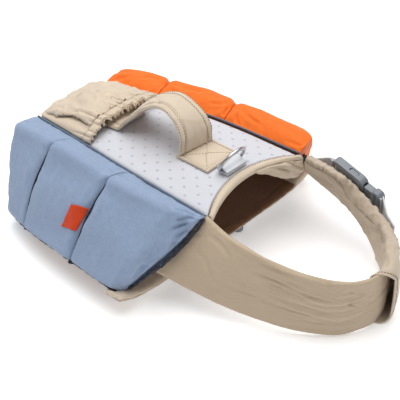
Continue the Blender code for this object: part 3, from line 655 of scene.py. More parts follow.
floatForm = {
    # seam with the back panel, upper edge and lower edge at each sewn channel, from the tail forwards
    "rows": ((-175, 42, 80, -177.5, 70.5, 88, -163, 102, 13),
             (-113, 49, 81, -119, 74.5, 92, -125, 115.5, 19.5),
             (-37, 56.5, 80, -43, 81, 91, -54, 125.5, 23.5),
             (45, 60, 75.5, 48, 80, 87.5, 5, 129.5, 23)),
    "seamRoom": 1.6, "cover": 1.5, "hemIn": 19.5, "hemDown": 7.8, "gap": 1.1,
    "radii": (1, 9.5, 8, 2.5), "arcSteps": (2, 10, 10, 4), "faceSteps": (14, 36, 10, 20),
    "crowns": (1.7, 3, 1.2, 0), "step": 1.35,
    "fullness": ((0, 0.965), (0.1, 0.985), (0.32, 1), (0.68, 1), (0.9, 0.985), (1, 0.965)),
    "frontFullness": ((0, 0.965), (0.1, 0.985), (0.3, 1), (0.6, 1), (0.7, 0.98), (0.78, 0.9), (0.86, 0.75),
                      (0.93, 0.6), (1, 0.46)),
    "frontSide": ((0, 0.965), (0.1, 0.985), (0.3, 1), (0.84, 1), (0.88, 0.98), (0.92, 0.9), (0.96, 0.76),
                  (1, 0.6)),
    # how far the right float's front edge lies forward over the strap, and from where it starts to
    "bow": {"reach": 5.5, "from": 0.72, "forward": (0.93, -0.1, -0.3), "off": 0.7},
    "leftFront": ((0, 0.965), (0.1, 0.985), (0.32, 1), (0.68, 1), (0.88, 0.99), (1, 0.95)),
    # how far in a sewn channel draws the cloth on the top, the side and the hem, and its width
    "channel": {"top": 0.25, "side": 3.8, "hem": 3.6, "reach": 4.6},
    "deepChannel": {"top": 0.6, "side": 5.6, "hem": 4.6, "reach": 6.2},
    "tail": {"top": 5.5, "side": 4.5, "hem": 4, "reach": 9},
    "front": {"top": 4, "side": 4, "hem": 4, "reach": 7},
    "leftChannel": {"top": 6.2, "side": 7, "hem": 5, "reach": 8.5},
    "leftEnd": {"top": 5, "side": 6, "hem": 6, "reach": 9},
    "pressure": 3, "swell": 2.2, "frames": 14, "shrink": -0.012,
}


def floatCorners(side, place):
    row = along(floatForm["rows"], place)
    seam, ridge, hem = row[0:3].copy(), row[3:6].copy(), row[6:9].copy()
    seam[1] += floatForm["seamRoom"]
    inner = hem - np.array((0, floatForm["hemIn"], floatForm["hemDown"]))
    normal = np.cross(ridge - seam, hem - seam)
    inner[0] = seam[0] - (normal[1] * (inner[1] - seam[1]) + normal[2] * (inner[2] - seam[2])) / normal[0]
    return [corner * (1, side, 1) for corner in (seam, ridge, hem, inner)]


def floatRing(side, place):
    # a section, the foot of each point on the wall next to the dog, and which face each point is on
    corners = floatCorners(side, place)
    seam, ridge, hem, inner = corners
    seam[1] -= side * floatForm["cover"]
    middle = sum(corners) / 4
    out = [unit((corners[n] + corners[(n + 1) % 4]) / 2 - middle) for n in range(4)]
    sideOut = unit(np.cross(hem - ridge, np.cross(ridge - seam, hem - ridge)))
    out[1] = towards(sideOut, (ridge + hem) / 2 - middle)
    arcs = []
    for n, corner in enumerate(corners):
        start = corner + unit(corners[n - 1] - corner) * floatForm["radii"][n]
        end = corner + unit(corners[(n + 1) % 4] - corner) * floatForm["radii"][n]
        t = np.linspace(0, 1, floatForm["arcSteps"][n] + 1)[:, None]
        arcs.append(start * (1 - t) ** 2 + corner * 2 * t * (1 - t) + end * t * t)
    ring, faces = [], []
    for n in range(4):
        ring.append(arcs[n])
        faces.append(np.linspace(n - 0.5, n + 0, len(arcs[n])))
        t = np.linspace(0, 1, floatForm["faceSteps"][n] + 2)[1:-1, None]
        bow = 4 * t * (1 - t) * floatForm["crowns"][n] * out[n]
        ring.append(arcs[n][-1] * (1 - t) + arcs[(n + 1) % 4][0] * t + bow)
        faces.append(n + 0.5 * t[:, 0])
    ring, faces = np.concatenate(ring), np.concatenate(faces)
    run = unit(inner - seam)
    foot = seam + ((ring - seam) @ run)[:, None] * run
    return ring, foot, faces


def drawnIn(faces, form):
    # how far an end draws each point of a section in: top, side and hem blend into each other
    return np.interp(faces, (-0.5, 0, 0.55, 1, 1.6, 2, 2.5, 3.5),
                     (0, form["top"], form["top"], form["side"], form["side"], form["hem"], form["hem"], 0))


def frontBow(side, point, share):
    # the sewn front edge of the right float isn't straight: it lies out over the strap in its middle
    seam, ridge, _, inner = floatCorners(side, 3)
    run = inner - seam
    height = np.clip((point - seam) @ run / (run @ run), 0, 1)
    out = towards(unit(np.cross(run, (1, 0, 0))), ridge - seam)
    form = floatForm["bow"]
    lift = np.sin(pi * height ** 0.85)[..., None] * ease(share, form["from"], 1)
    return lift * (form["reach"] * unit(form["forward"]) + form["off"] * out)


def floatGrid(side, index, forms, fullness):
    corners = [floatCorners(side, index + t)[1] for t in (0, 1)]
    length = np.linalg.norm(corners[1] - corners[0])
    inset = 0.5 * floatForm["gap"] / length
    shares = edgedShares(length, floatForm["step"], 2.4)
    grid = []
    for share in shares:
        ring, foot, faces = floatRing(side, index + inset + share * (1 - 2 * inset))
        full = valueAt(fullness, share)
        if index == 2 and side < 0:
            # the ridge is rounded off towards the front, while the side stays full up to a flat front face
            blunt = ease(faces, 0.95, 1.35)
            full = (full * (1 - blunt) + valueAt(floatForm["frontSide"], share) * blunt)[:, None]
        ring = foot + (ring - foot) * full
        for form, away in zip(forms, (share * length, (1 - share) * length)):
            near = rising(away, form["reach"])
            draw = drawnIn(faces, form) * (1 - np.sqrt(1 - (1 - near) ** 2))
            depth = np.linalg.norm(ring - foot, axis=1, keepdims=True)
            ring = ring - (ring - foot) / np.maximum(depth, 1e-6) * np.minimum(draw[:, None], depth * 0.8)
        if index == 2 and side < 0:
            depth = np.linalg.norm(ring - foot, axis=1, keepdims=True)
            ring = ring + frontBow(side, ring, share) * (1 - rising(depth, 34))
        grid.append(ring)
    return np.array(grid), faces


def inflate(grid, fixed, form):
    # the cover under the pressure of the foam inside it. Gives how far each point of the grid moves.
    rows, columns = grid.shape[:2]
    faces = gridFaces(rows, columns, True).tolist()
    points = (grid.reshape(-1, 3) * mm).tolist()
    for row in (0, rows - 1):
        faces.append([row * columns + c for c in range(columns)][::1 if row else -1])
    mesh = bpy.data.meshes.new("blank")
    mesh.from_pydata(points, [], faces)
    obj = newObject("blank", mesh)
    pins = obj.vertex_groups.new(name="sewn")
    pins.add([int(i) for i in np.flatnonzero(fixed.ravel())], 1, "REPLACE")
    cloth = obj.modifiers.new("Cloth", "CLOTH")
    cloth.settings.vertex_group_mass = "sewn"
    cloth.settings.use_pressure = True
    cloth.settings.uniform_pressure_force = form["pressure"]
    cloth.settings.effector_weights.gravity = 0
    cloth.settings.shrink_min = form["shrink"]
    cloth.settings.quality = 4
    cloth.settings.bending_stiffness = 0.2
    cloth.point_cache.frame_start, cloth.point_cache.frame_end = 1, form["frames"]
    for step in range(1, form["frames"] + 1):
        scene.frame_set(step)
    found = obj.evaluated_get(bpy.context.evaluated_depsgraph_get()).data
    after = np.empty(len(points) * 3, np.float32)
    found.vertices.foreach_get("co", after)
    bpy.data.objects.remove(obj, do_unlink=True)
    bpy.data.meshes.remove(mesh)
    scene.frame_set(1)
    moved = after.reshape(rows, columns, 3) / mm - grid
    size = np.linalg.norm(moved, axis=2, keepdims=True)
    return moved * np.minimum(1, form["swell"] / np.maximum(size, 1e-9))


def swollen(grid, faces, form):
    # runs on every second row and point, and spreads the result smoothly over the rest
    coarse = grid[::2, ::2]
    fixed = np.zeros(coarse.shape[:2], bool)
    fixed[0], fixed[-1] = True, True
    held = (faces[::2] < -0.2) | (faces[::2] > 2.6)
    fixed[:, held] = True
    moved = inflate(coarse, fixed, form)
    rows = np.arange(grid.shape[0]) / 2
    low = np.minimum(rows.astype(int), moved.shape[0] - 2)
    t = (rows - low)[:, None, None]
    tall = moved[low] * (1 - t) + moved[low + 1] * t
    columns = np.arange(grid.shape[1]) / 2
    left = columns.astype(int) % moved.shape[1]
    s = (columns - columns.astype(int))[None, :, None]
    wide = tall[:, left] * (1 - s) + tall[:, (left + 1) % moved.shape[1]] * s
    for _ in range(2):
        wide = blurred(wide, 1)
        wide = 0.25 * np.roll(wide, 1, 1) + 0.5 * wide + 0.25 * np.roll(wide, -1, 1)
    return grid + wide


capShares = (0.97, 0.9, 0.78, 0.62, 0.44, 0.25, 0.08)


def capped(grid, bulges):
    # closes both ends of a closed grid with rings that shrink to their middle
    before, after = [], []
    for row, inner, bulge, store in ((0, 1, bulges[0], before), (-1, -2, bulges[1], after)):
        ring = grid[row]
        middle = ring.mean(axis=0)
        out = unit((ring - grid[inner]).mean(axis=0))
        for share in capShares:
            store.append(middle + (ring - middle) * share + out * bulge * (1 - share ** 2))
    return np.concatenate((before[::-1], grid, after))


floatFolds = {
    ("right", 0): [(40, 124, 46, 132, 50, 139, 2.6, -1.2), (12, 150, 16, 170, 15, 190, 4, -1),
                   (30, 150, 28, 172, 24, 196, 3.6, 1)],
    ("right", 1): [(54, 139, 62, 139, 70, 142, 1.6, -1.2), (104, 171, 114, 172, 126, 173, 1.5, -1.6),
                   (100, 168, 112, 168.5, 124, 170, 1.8, 1.2), (60, 160, 54, 190, 44, 218, 4, 0.9),
                   (96, 182, 88, 196, 82, 204, 2.4, -1)],
    ("right", 2): [(110, 177, 119, 176, 130, 177, 1.6, -1.3), (106, 190, 100, 206, 92, 222, 2.6, 1),
                   (158, 245, 146, 262, 130, 283, 3.4, -2.4),
                   (176, 232, 168, 246, 150, 268, 138, 280, 2.2, 1.4),
                   (200, 220, 190, 218, 174, 221, 1.3, -2), (199, 223, 186, 224, 168, 231, 1.4, -2.2),
                   (198, 226, 186, 231, 172, 240, 1.3, -2), (198, 217, 186, 212, 172, 209, 1.3, -1.5),
                   (198, 224.5, 186, 227, 171, 235, 1.1, 1.2), (186, 243, 178, 242, 168, 246, 1.4, -1.3),
                   (170, 258, 160, 258, 150, 262, 1.6, -1.4), (158, 268, 148, 266, 138, 270, 1.6, -1.2)],
    ("left", 0): [(-150, 92, 62, -146, 98, 46, -142, 105, 26, 4, 0.9),
                  (-124, 84, 76, -130, 94, 56, -128, 104, 34, 3.4, -0.9),
                  (112, 80, 122, 78, 134, 76, 2.4, -1), (163, 84, 156, 90, 149, 95, 1.5, -1.4),
                  (165, 80, 150, 77, 134, 79, 2, -0.9)],
    ("left", 1): [(-100, 96, 66, -94, 106, 46, -96, 114, 30, 3.6, 0.9),
                  (-64, 94, 72, -66, 104, 54, -62, 116, 32, 3.2, -0.9),
                  (180, 86, 194, 90, 206, 92, 2.2, -1), (232, 105, 224, 114, 214, 121, 1.5, -1.8),
                  (234, 103, 222, 104, 206, 103, 1.8, -1.1), (170, 88, 176, 94, 188, 97, 1.8, -1.1),
                  (229, 113, 222, 121, 216, 126, 1.2, -1.4)],
    ("left", 2): [(-24, 96, 70, -28, 108, 50, -30, 120, 30, 3.4, -0.9),
                  (20, 92, 76, 6, 106, 54, -6, 120, 32, 4, 1), (306, 134, 304, 144, 306, 155, 2.2, -1.6),
                  (312, 138, 310, 148, 311, 156, 1.8, 1), (296, 146, 301, 151, 306, 156, 1.6, -1.4),
                  (250, 108, 262, 112, 276, 118, 2.4, -0.9), (236, 112, 236, 120, 240, 128, 1.4, -1.6),
                  (240, 108, 250, 118, 262, 126, 1.8, -1.2), (312, 150, 300, 146, 284, 140, 1.8, -1.2)],
}


def makeFloat(side, sideName, index, material):
    form = floatForm
    channels = [form["channel"], form["deepChannel"]] if side < 0 else [form["leftChannel"]] * 2
    front = form["front"] if side < 0 else form["leftEnd"]
    ends = ([form["tail"]] + channels + [front])[index:index + 2]
    fullness = form["fullness"]
    if index == 2:
        fullness = form["frontFullness"] if side < 0 else form["leftFront"]
    grid, faces = floatGrid(side, index, ends, fullness)
    grid = swollen(grid, faces, form)
    normals = gridNormals(grid, True)
    if normals[len(grid) // 2, np.argmin(np.abs(faces - 1.25))] @ np.array((0, side, 0.3)) < 0:
        normals = -normals
    shown = ease(faces, -0.3, 0.1) * (1 - ease(faces, 2.6, 3.2))
    height = foldHeights(grid, floatFolds[sideName, index], True)
    down, across = steps(grid)
    seed = 40 + index * 7 + (side > 0) * 31
    height += 0.28 * waves(grid, 34, seed) + 0.2 * crinkles(grid, 26, seed + 1) * (0.4 + 0.6 * shown)
    endGap = fromEnds(down)
    height += puckers(across + 40 * seed, endGap, 13, 5.5, 0.5, seed + 2)
    seamGap = fromSides(across)
    height += puckers(down, seamGap, 9, 7, 0.35, seed + 3)
    inside = np.sqrt(rising(endGap, 2))
    grid = grid + normals * (height * shown * inside)[..., None]
    bulges = (5 if index == 0 else 0, (2.5 if side > 0 else 1.2) if index == 2 else 0)
    floatRings[sideName, index] = grid, faces
    grid = capped(grid, bulges)
    block = ("rear", "middle", "front")[index]
    sewTube(f"{sideName}Float{block.capitalize()}", grid, material, [f"{sideName}_float_{block}"])
    floatTops[sideName, index] = grid


floatRings, floatTops = {}, {}
for side, sideName, colour, slot in ((-1, "right", "blueNylon", "blue_nylon"),
                                     (1, "left", "orangeNylon", "orange_nylon")):
    for index in range(3):
        makeFloat(side, sideName, index, colour)
    print(sideName, "float is made")


channelShadeForm = {"radius": 0.75, "from": 0.95, "to": 2.25, "proud": 1.5, "knot": 1.2}


def makeChannelShadeCords(sideName):
    # the stitched seam at the bottom of each channel between two blocks, as a dark navy cord: painted shade
    # of the deep groove there
    for index in (0, 1):
        grid, labels = floatRings[sideName, index]
        other = floatRings[sideName, index + 1][0]
        chosen = (labels > channelShadeForm["from"]) & (labels < channelShadeForm["to"])
        path = ((grid[-2] + other[1]) / 2)[chosen]
        path += unit(path - grid[-1].mean(axis=0)) * channelShadeForm["proud"]
        path = blurred(path, 3)
        ahead = unit(np.gradient(path, axis=0))
        wide = unit(np.cross(ahead, (1, 0, 0)))
        run = runOf(path)
        radius = channelShadeForm["radius"] * (1 + 0.12 * np.sin(run * 1.9) + channelShadeForm["knot"]
                                          * bell(run[-1] - run, 1.5, 1.6))
        grid = capped(rope(path, wide, np.cross(ahead, wide), 10, size=radius), (0.4, 0.4))
        sewTube(f"{sideName}{('Rear', 'Front')[index]}Cord", grid, "navyTape", [])


makeChannelShadeCords("right")


# Back panel, side panels and piping

backForm = {"arch": 4, "thick": 3, "room": 1.6, "collarMiddle": 27, "collarRise": 18, "collarSpan": 58,
            "length": 200, "step": 2.2, "wave": 0.35, "cut": (0.118, 0.216)}
finePlaces = np.linspace(0, 3, 121)
fineSeam = np.array([along(floatForm["rows"], place)[:3] for place in finePlaces])


def halfAt(x):
    return np.interp(x, fineSeam[:, 0], fineSeam[:, 1]) - backForm["room"]


def onBack(x, y, rise=0):
    x, y = np.asarray(x, float), np.asarray(y, float)
    z = np.interp(x, fineSeam[:, 0], fineSeam[:, 2]) + backForm["arch"] * (1 - (y / halfAt(x)) ** 2)
    return np.stack((x, y, z + rise), axis=-1)


def collarX(y, forward=0):
    return backForm["collarMiddle"] + backForm["collarRise"] * (y / backForm["collarSpan"]) ** 2 + forward


def facing(grid, direction=(0, 0, 1)):
    # the grid with its columns in the order that makes its normals point in a direction
    turn = gridNormals(grid).reshape(-1, 3).mean(axis=0) @ np.array(direction, float)
    return grid if turn > 0 else grid[:, ::-1]


def makeBack():
    shares = np.linspace(-1, 1, 61)
    front = collarX(shares * (backForm["collarSpan"] - 1))
    rear = floatForm["rows"][0][0]
    t = edgedShares(backForm["length"], backForm["step"], 1.5)[:, None]
    x = rear + (front - rear) * t
    grid = facing(onBack(x, shares * halfAt(x)))
    height = backForm["wave"] * waves(grid * (1, 1, 0), 46, 3) * (1 - np.abs(grid[..., 1]) / 60) ** 0.5
    toSeam = halfAt(grid[..., 0]) - np.abs(grid[..., 1])
    height -= 1.1 * bell(toSeam, 0, 3)
    height += puckers(grid[..., 0], toSeam, 8, 6, 0.22, 17)
    sew("backPanel", lifted(grid, height), backForm["thick"], "dotCloth", ["back_panel"], "grey_cloth",
        backForm["cut"], "stretched", ["right_piping", "left_piping"], lean=0, edge=1.4)


sideForm = {"gap": 0.85, "thick": 1.5, "cut": (0.08, 0.2)}


def liningPoint(side, place, share, away):
    seam, ridge, _, inner = floatCorners(side, place)
    inward = towards(unit(np.cross(inner - seam, (1, 0, 0))), seam - ridge)
    return seam + (inner - seam) * share + inward * away


def makeSidePanel(side, sideName):
    gap = sideForm["gap"]
    shares = np.linspace(0.03, 0.975, 44)
    grid = np.array([[liningPoint(side, place, share, gap) for share in shares]
                     for place in np.linspace(0, 2.995, 120)])
    grid = facing(grid, liningPoint(side, 1, 0.5, 2) - liningPoint(side, 1, 0.5, 1))
    height = np.clip(0.5 * waves(grid, 40, 9 + side) + 0.4 * crinkles(grid, 30, 12 + side), 0, 3)
    sew(f"{sideName}SidePanel", grid, sideForm["thick"], "brownLining", [f"{sideName}_side_panel"],
        "tan_lining", sideForm["cut"], "stretched", [f"{sideName}_piping"], lean=1, high=height)


facingForm = {
    # upper edge under the collar and lower edge, from the middle of the neck opening to the strap's root
    "upper": ((37.6, 8, 79.6), (39, 20, 78.6), (42, 34, 76.6), (45.4, 46, 74.6), (49.4, 58.5, 72.4)),
    "lower": ((38.2, 10, 79), (40, 26.5, 68.6), (41.8, 41.5, 58.6), (41.6, 54.5, 52.2), (33.5, 82, 43)),
    "thick": 1.3, "bulge": 2.4, "cut": (0.02, 0.062),
}
facingFolds = [
    (268, 163, 284, 165, 299, 169, 1.7, 1.6), (272, 166, 286, 170, 300, 173, 1.5, -1.6),
    (280, 160, 291, 163, 302, 167, 1.3, -1.3), (270, 171, 284, 174.5, 300, 174, 1.4, 0.9),
]


def makeFacing():
    # the strap's foot, spread and sewn under the far end of the collar
    rows = []
    for t in np.linspace(0, 4, 60):
        upper, lower = along(facingForm["upper"], t), along(facingForm["lower"], t)
        shares = np.linspace(0, 1, 34)[:, None]
        row = upper * (1 - shares) + lower * shares
        row[:, 0] += facingForm["bulge"] * np.sin(pi * shares[:, 0]) * sin(pi * min(t / 4, 1))
        rows.append(row)
    grid = facing(np.array(rows), (1, -0.4, 0))
    height = foldHeights(grid, facingFolds) + 0.45 * crinkles(grid, 16, 21)
    height += 0.3 * waves(grid, 18, 22)
    sew("leftFacing", lifted(grid, height), facingForm["thick"], "tanNylon", [], "tan_lining",
        facingForm["cut"], "stretched", ["collarBinding"])


pipingForm = {"radius": {"right": 1.1, "left": 0.8}, "rise": {"right": 0.4, "left": 0.2}}


def makePiping(side, sideName):
    path = np.array([along(floatForm["rows"], place)[:3] for place in np.linspace(0, 2.99, 200)])
    path = path * (1, side, 1) + (0, 0, pipingForm["rise"][sideName])
    ahead = unit(np.gradient(path, axis=0))
    out = unit(np.cross(ahead, (0, 0, 1)))
    run = runOf(path)
    uneven = 1 + 0.07 * np.sin(run * tau / 7.3) + 0.06 * np.sin(run * tau / 3.1 + 1)
    grid = rope(path, out, np.cross(out, ahead), 12, size=pipingForm["radius"][sideName] * uneven)
    sewTube(f"{sideName}Piping", grid, "slateCord", [f"{sideName}_piping"])


makeBack()
for side, sideName in bothSides:
    makeSidePanel(side, sideName)
    makePiping(side, sideName)
makeFacing()
print("back panel, side panels and piping are made")

# Tag in the channel of the right float

tagForm = {"corners": ((72, 204.3), (89.2, 208.6), (76.2, 231), (62.2, 226)), "rise": 0.75, "thick": 1.2,
           "size": (16, 20), "cut": (0.0165, 0.022)}


def makeTag():
    a, b, c, d = (np.array(corner, float) for corner in tagForm["corners"])
    tree = gridTree(floatTops["right", 1], True)
    wide, tall = (edgedShares(size, 1.3, 0.5) for size in tagForm["size"])
    spots = [[spot(tree, (a * (1 - u) + b * u) * (1 - v) + (d * (1 - u) + c * u) * v) for u in wide]
             for v in tall]
    grid = np.array([[point + normal * tagForm["rise"] for point, normal in row] for row in spots])
    for _ in range(4):
        grid[1:-1, 1:-1] = (grid[:-2, 1:-1] + grid[2:, 1:-1] + grid[1:-1, :-2] + grid[1:-1, 2:]) / 4
    grid = facing(grid, (0, -1, 0.3))
    height = 0.16 * waves(grid, 9, 5)
    sew("floatTag", grid, tagForm["thick"], "orangeTape", ["float_tag"], "orange_tag", tagForm["cut"],
        "folded", ["rightFloatMiddle"], high=height, low=-height)


makeTag()

# Collar binding

collarForm = {"width": 9.6, "half": 57.6, "thick": 3, "crown": 0.8, "narrowing": 0.36, "gap": 0.2,
              "stitch": 1.9, "cut": (0.0115, 0.115)}


def collarGrid(shares, ys):
    forward = collarForm["gap"] + (collarForm["width"] - collarForm["gap"]) * shares[:, None]
    narrowing = 1 - collarForm["narrowing"] * (ys / backForm["collarSpan"]) ** 2
    x = collarX(ys[None, :], forward * narrowing)
    panelEnd = floatForm["rows"][-1][0]
    beyond = np.maximum(x - panelEnd, 0)
    grid = onBack(x - beyond, ys[None, :] + x * 0, collarForm["gap"] + collarForm["crown"]
                  * np.sin(pi * shares)[:, None])
    grid[..., 0] += beyond
    grid[..., 2] -= 1.6 * ease(shares, 0.72, 1)[:, None]
    return grid


def makeCollar():
    ys = edgedShares(2 * collarForm["half"], 1.3, 1.4) * 2 * collarForm["half"] - collarForm["half"]
    grid = collarGrid(edgedShares(collarForm["width"], 0.7, 1.6), ys)
    grid = facing(grid)
    down, across = steps(grid)
    line = -0.7 * bell(down, collarForm["stitch"], 0.8)
    height = line + puckers(across, np.abs(down - collarForm["stitch"]), 6.5, 4, 0.22, 31)
    height += 0.25 * crinkles(grid, 16, 33)
    height *= rising(fromEnds(down), 0.8)
    return sew("collarBinding", grid, collarForm["thick"], "tanNylon", ["collar_binding"], "tan_cloth",
               collarForm["cut"], "folded", ["backPanel"], lean=0, edge=1.9, high=height)


faces = {"collar": makeCollar()}

# Pocket over the rear of the back

pocketForm = {
    # inset from the side seam and rise over the back, up the gusset, down its pleat and over the top, where
    # the pleat is small at the tail and where it opens wide by the mouth
    "narrow": ((0, 0), (0.3, 1.3), (1, 2.3), (2.6, 2.6), (5, 1.9), (8, 1.6), (9.5, 3), (7.5, 5.2),
               (4, 6.2), (2.2, 7.2), (2.6, 9), (6, 11.2), (13, 12.4), (34, 12.8)),
    "wide": ((0, 0), (0.7, 1.7), (2.6, 3.5), (6, 4.7), (10.5, 4.6), (16, 3.4), (19.5, 4.4), (18, 7.2),
             (14, 8.6), (11.4, 9.6), (11.8, 11), (15, 12.2), (20, 12.7), (36, 12.9)),
    "opens": (-168, -126),
    "flat": ((0, 0), (0.8, 1.6), (2.6, 3.4), (4.6, 4.9), (6.2, 6.1), (7.6, 7.2), (8.6, 7.9), (9.6, 8.6),
             (10.8, 9.2), (12, 9.8), (13.6, 10.4), (17, 11.1), (24, 11.8), (34, 12)),
    "fill": ((-174.5, 0.16), (-170, 0.27), (-158, 0.55), (-140, 0.8), (-120, 0.9), (-106.5, 0.84),
             (-99.2, 0.80)),
    "pleat": ((-174.5, 0.3), (-172, 0.8), (-166, 1), (-140, 1), (-122, 0.9), (-113, 0.35),
              (-106, 0)),
    "edge": 2.9, "thick": 1.2, "band": (-109.3, -99), "bandThick": 2.2, "gathers": 23, "ruffle": 2.3,
    "cut": (0.135, 0.075), "bandCut": (0.165, 0.019),
}


def pocketRow(x, count, edge):
    fill = valueAt(pocketForm["fill"], x)
    pleat = valueAt(pocketForm["pleat"], x) * (0.9 + 0.12 * sin(x * 0.16) + 0.07 * sin(x * 0.37 + 1))
    share = float(ease(x, *pocketForm["opens"]))
    table = np.array(pocketForm["wide"]) * share + np.array(pocketForm["narrow"]) * (1 - share)
    table = table * pleat + np.array(pocketForm["flat"]) * (1 - pleat)
    path = np.array([along(table, place) for place in np.linspace(0, len(table) - 1, count)])
    half = halfAt(x) - edge + backForm["room"]
    path[:, 0] *= min(1, (half - 1) / table[-1, 0])
    middle = np.linspace(path[-1, 0], half, 14)[1:]
    inset = np.concatenate((path[:, 0], middle))
    rise = np.concatenate((path[:, 1], path[-1, 1] + 0 * middle))
    right = onBack(x + 0 * inset, -(half - inset), 0.4 + rise * fill)
    return np.concatenate((right, (right * (1, -1, 1))[-2::-1]))


def makePocket():
    xs = np.interp(np.linspace(0, 1, 66), (0, 0.08, 0.9, 1), (-174.5, -172, -114, -109.4))
    grid = facing(np.array([pocketRow(x, 84, pocketForm["edge"]) for x in xs]))
    sides = fromSides(steps(grid)[1])
    toMouth = np.abs(grid[..., 0] - xs.max())
    top = ease(sides, 14, 24)
    height = gatherHeight(grid[..., 1], 1) * np.exp(-toMouth / 9) * 0.9
    height += puckers(grid[..., 1], toMouth, 6.2, 16, 1.5, 50)
    height += top * (0.8 * waves(grid, 34, 51) + 1.5 * crinkles(grid, 30, 52) + 0.9 * crinkles(grid, 15, 53))
    height += foldHeights(grid, pocketFolds)
    height *= rising(sides, 3)
    sew("pocketBag", lifted(grid, height), pocketForm["thick"], "tanNylon", ["pocket"], "tan_cloth",
        pocketForm["cut"], "gathered", ["backPanel"], lean=1)


def gatherHeight(y, seed):
    line = inLine(y)
    phase = y / (105 / pocketForm["gathers"]) * tau + 2.6 * waves(line, 17, seed)
    strength = 0.75 + 0.3 * waves(line, 12, seed + 1)
    return pocketForm["ruffle"] * strength * (np.abs(np.sin(phase / 2)) * 2 - 1.1)


def makePocketBand():
    low, high = pocketForm["band"]
    shares = edgedShares(high - low, 0.7, 1.1)
    grid = np.array([pocketRow(low + (high - low) * share, 110, 3.3) for share in shares])
    grid = np.array([sampled(line, run, np.linspace(0, run[-1], 260))
                     for run, line in zip(steps(grid)[1], grid)])
    grid = facing(grid)
    across = steps(grid)[1]
    rowShare = shares[:, None]
    swell = np.interp(rowShare, (0, 0.12, 0.5, 0.86, 1), (0.55, 0.6, 1, 0.8, 1.15))
    height = gatherHeight(grid[..., 1], 1) * swell
    height -= 0.5 * bell(rowShare, 0.16, 0.07) + 0.45 * bell(rowShare, 0.82, 0.07)
    grid = lifted(grid, height * np.clip(fromSides(across) / 4, 0.15, 1))
    grid[..., 0] += 0.7 * rowShare ** 2 * waves(inLine(grid[..., 1]), 7, 61)
    return sew("pocketBand", grid, pocketForm["bandThick"], "tanNylon", ["pocket_band"], "tan_cloth",
               pocketForm["bandCut"], "gathered", ["pocketBag"], lean=1, edge=1.2)


pocketFolds = [
    (46, 109, 58, 104, 72, 103, 2.4, -1.3), (60, 96, 74, 101, 84, 110, 2.6, -1.5),
    (96, 86, 98, 96, 96, 106, 2.6, -1.3), (112, 86, 112, 95, 107, 103, 2.4, -1.2),
    (128, 90, 122, 95, 114, 101, 2.2, -1.2), (72, 112, 84, 112, 92, 118, 2.2, -1.2),
    (80, 92, 88, 100, 94, 110, 3, 1.2), (50, 112, 58, 110.5, 66, 114, 1.8, 0.9),
    (68, 118, 76, 119, 84, 118, 1.6, 0.8),
]
makePocket()
faces["band"] = makePocketBand()
print("collar and pocket are made")

# Grab handle and the patch that holds its front end

handleForm = {
    "rows": ((-124, -21, 86.8, -124, 18, 87), (-108, -22, 86.8, -109, 18, 87),
             (-92, -22, 87, -96.5, 19, 87.8), (-81, -20, 98, -88.5, 18, 99),
             (-67, -16, 111, -77, 18, 109), (-53, -14, 118.5, -58, 18, 118),
             (-41, -14, 119.5, -42, 18, 119), (-28, -16, 114, -27, 18, 111),
             (-20.5, -17.5, 103, -19, 18, 101), (-20, -19, 94, -17.5, 18.5, 92),
             (-21, -19.5, 86.6, -17.5, 19, 86.6)),
    "width": 37, "thick": 2.6, "crown": 1, "stitch": 6.6, "cut": (0.037, 0.172),
}
handleFolds = [
    (104, 124, 118, 116, 134, 107, 1.8, -1), (112, 131, 124, 122, 138, 112, 1.6, -0.9),
    (120, 110, 132, 106, 142, 104, 1.6, 0.9), (184, 150, 186, 136, 182, 122, 1.6, -1.1),
    (190, 152, 193, 138, 190, 122, 1.5, -0.8), (200, 146, 203, 134, 200, 120, 2, 0.8),
    (181, 158, 190, 154, 202, 151, 1.5, -1), (152, 96, 158, 102, 162, 110, 2.2, -0.8),
]


def makeHandle():
    rows = handleForm["rows"]
    last = len(rows) - 1
    lengths = np.linspace(0, last, 170)
    across = edgedShares(handleForm["width"], 0.6, 1.3)
    grid = []
    for place in lengths:
        row = along(rows, place)
        line = row[:3] * (1 - across[:, None]) + row[3:] * across[:, None]
        line[:, 2] += handleForm["crown"] * 4 * across * (1 - across) * sin(pi * place / last)
        grid.append(line)
    grid = facing(np.array(grid))
    normals = gridNormals(grid)
    down, wide = steps(grid)
    sides = fromSides(wide)
    raised = 0.5 * ease(sides, handleForm["stitch"] + 0.6, handleForm["stitch"] + 2.6)
    height = raised - 1.1 * bell(sides, handleForm["stitch"], 0.8) - 0.6 * bell(sides, 1.8, 0.6)
    height += puckers(down, np.abs(sides - handleForm["stitch"]), 7, 3.2, 0.2, 71)
    bend = 0.35 * waves(grid, 36, 73) + 0.35 * crinkles(grid * (1, 0.5, 1), 22, 74)
    folds = foldHeights(grid, handleFolds)
    ends = rising(fromEnds(down), 14)
    bend = (bend + folds) * ends
    foot = (lengths[:, None] > last - 2) * (down[-1:] - down)
    bend += (lengths[:, None] > last - 2) * puckers(wide, foot, 7, 7, 0.9, 75) * rising(foot, 2)
    grid = grid + normals * bend[..., None]
    flat = rising(sides, 0.8)
    return sew("handleBand", grid, handleForm["thick"], "tanNylon", ["handle_band"], "tan_cloth",
               handleForm["cut"], "folded", ["backPanel", "handlePatch"], edge=1.2, high=height * flat,
               low=raised * 0.5 * flat)


patchForm = {"x": (-24, 11), "half": 19.5, "thick": 2.3, "stitch": 3.6, "cut": (0.035, 0.039)}


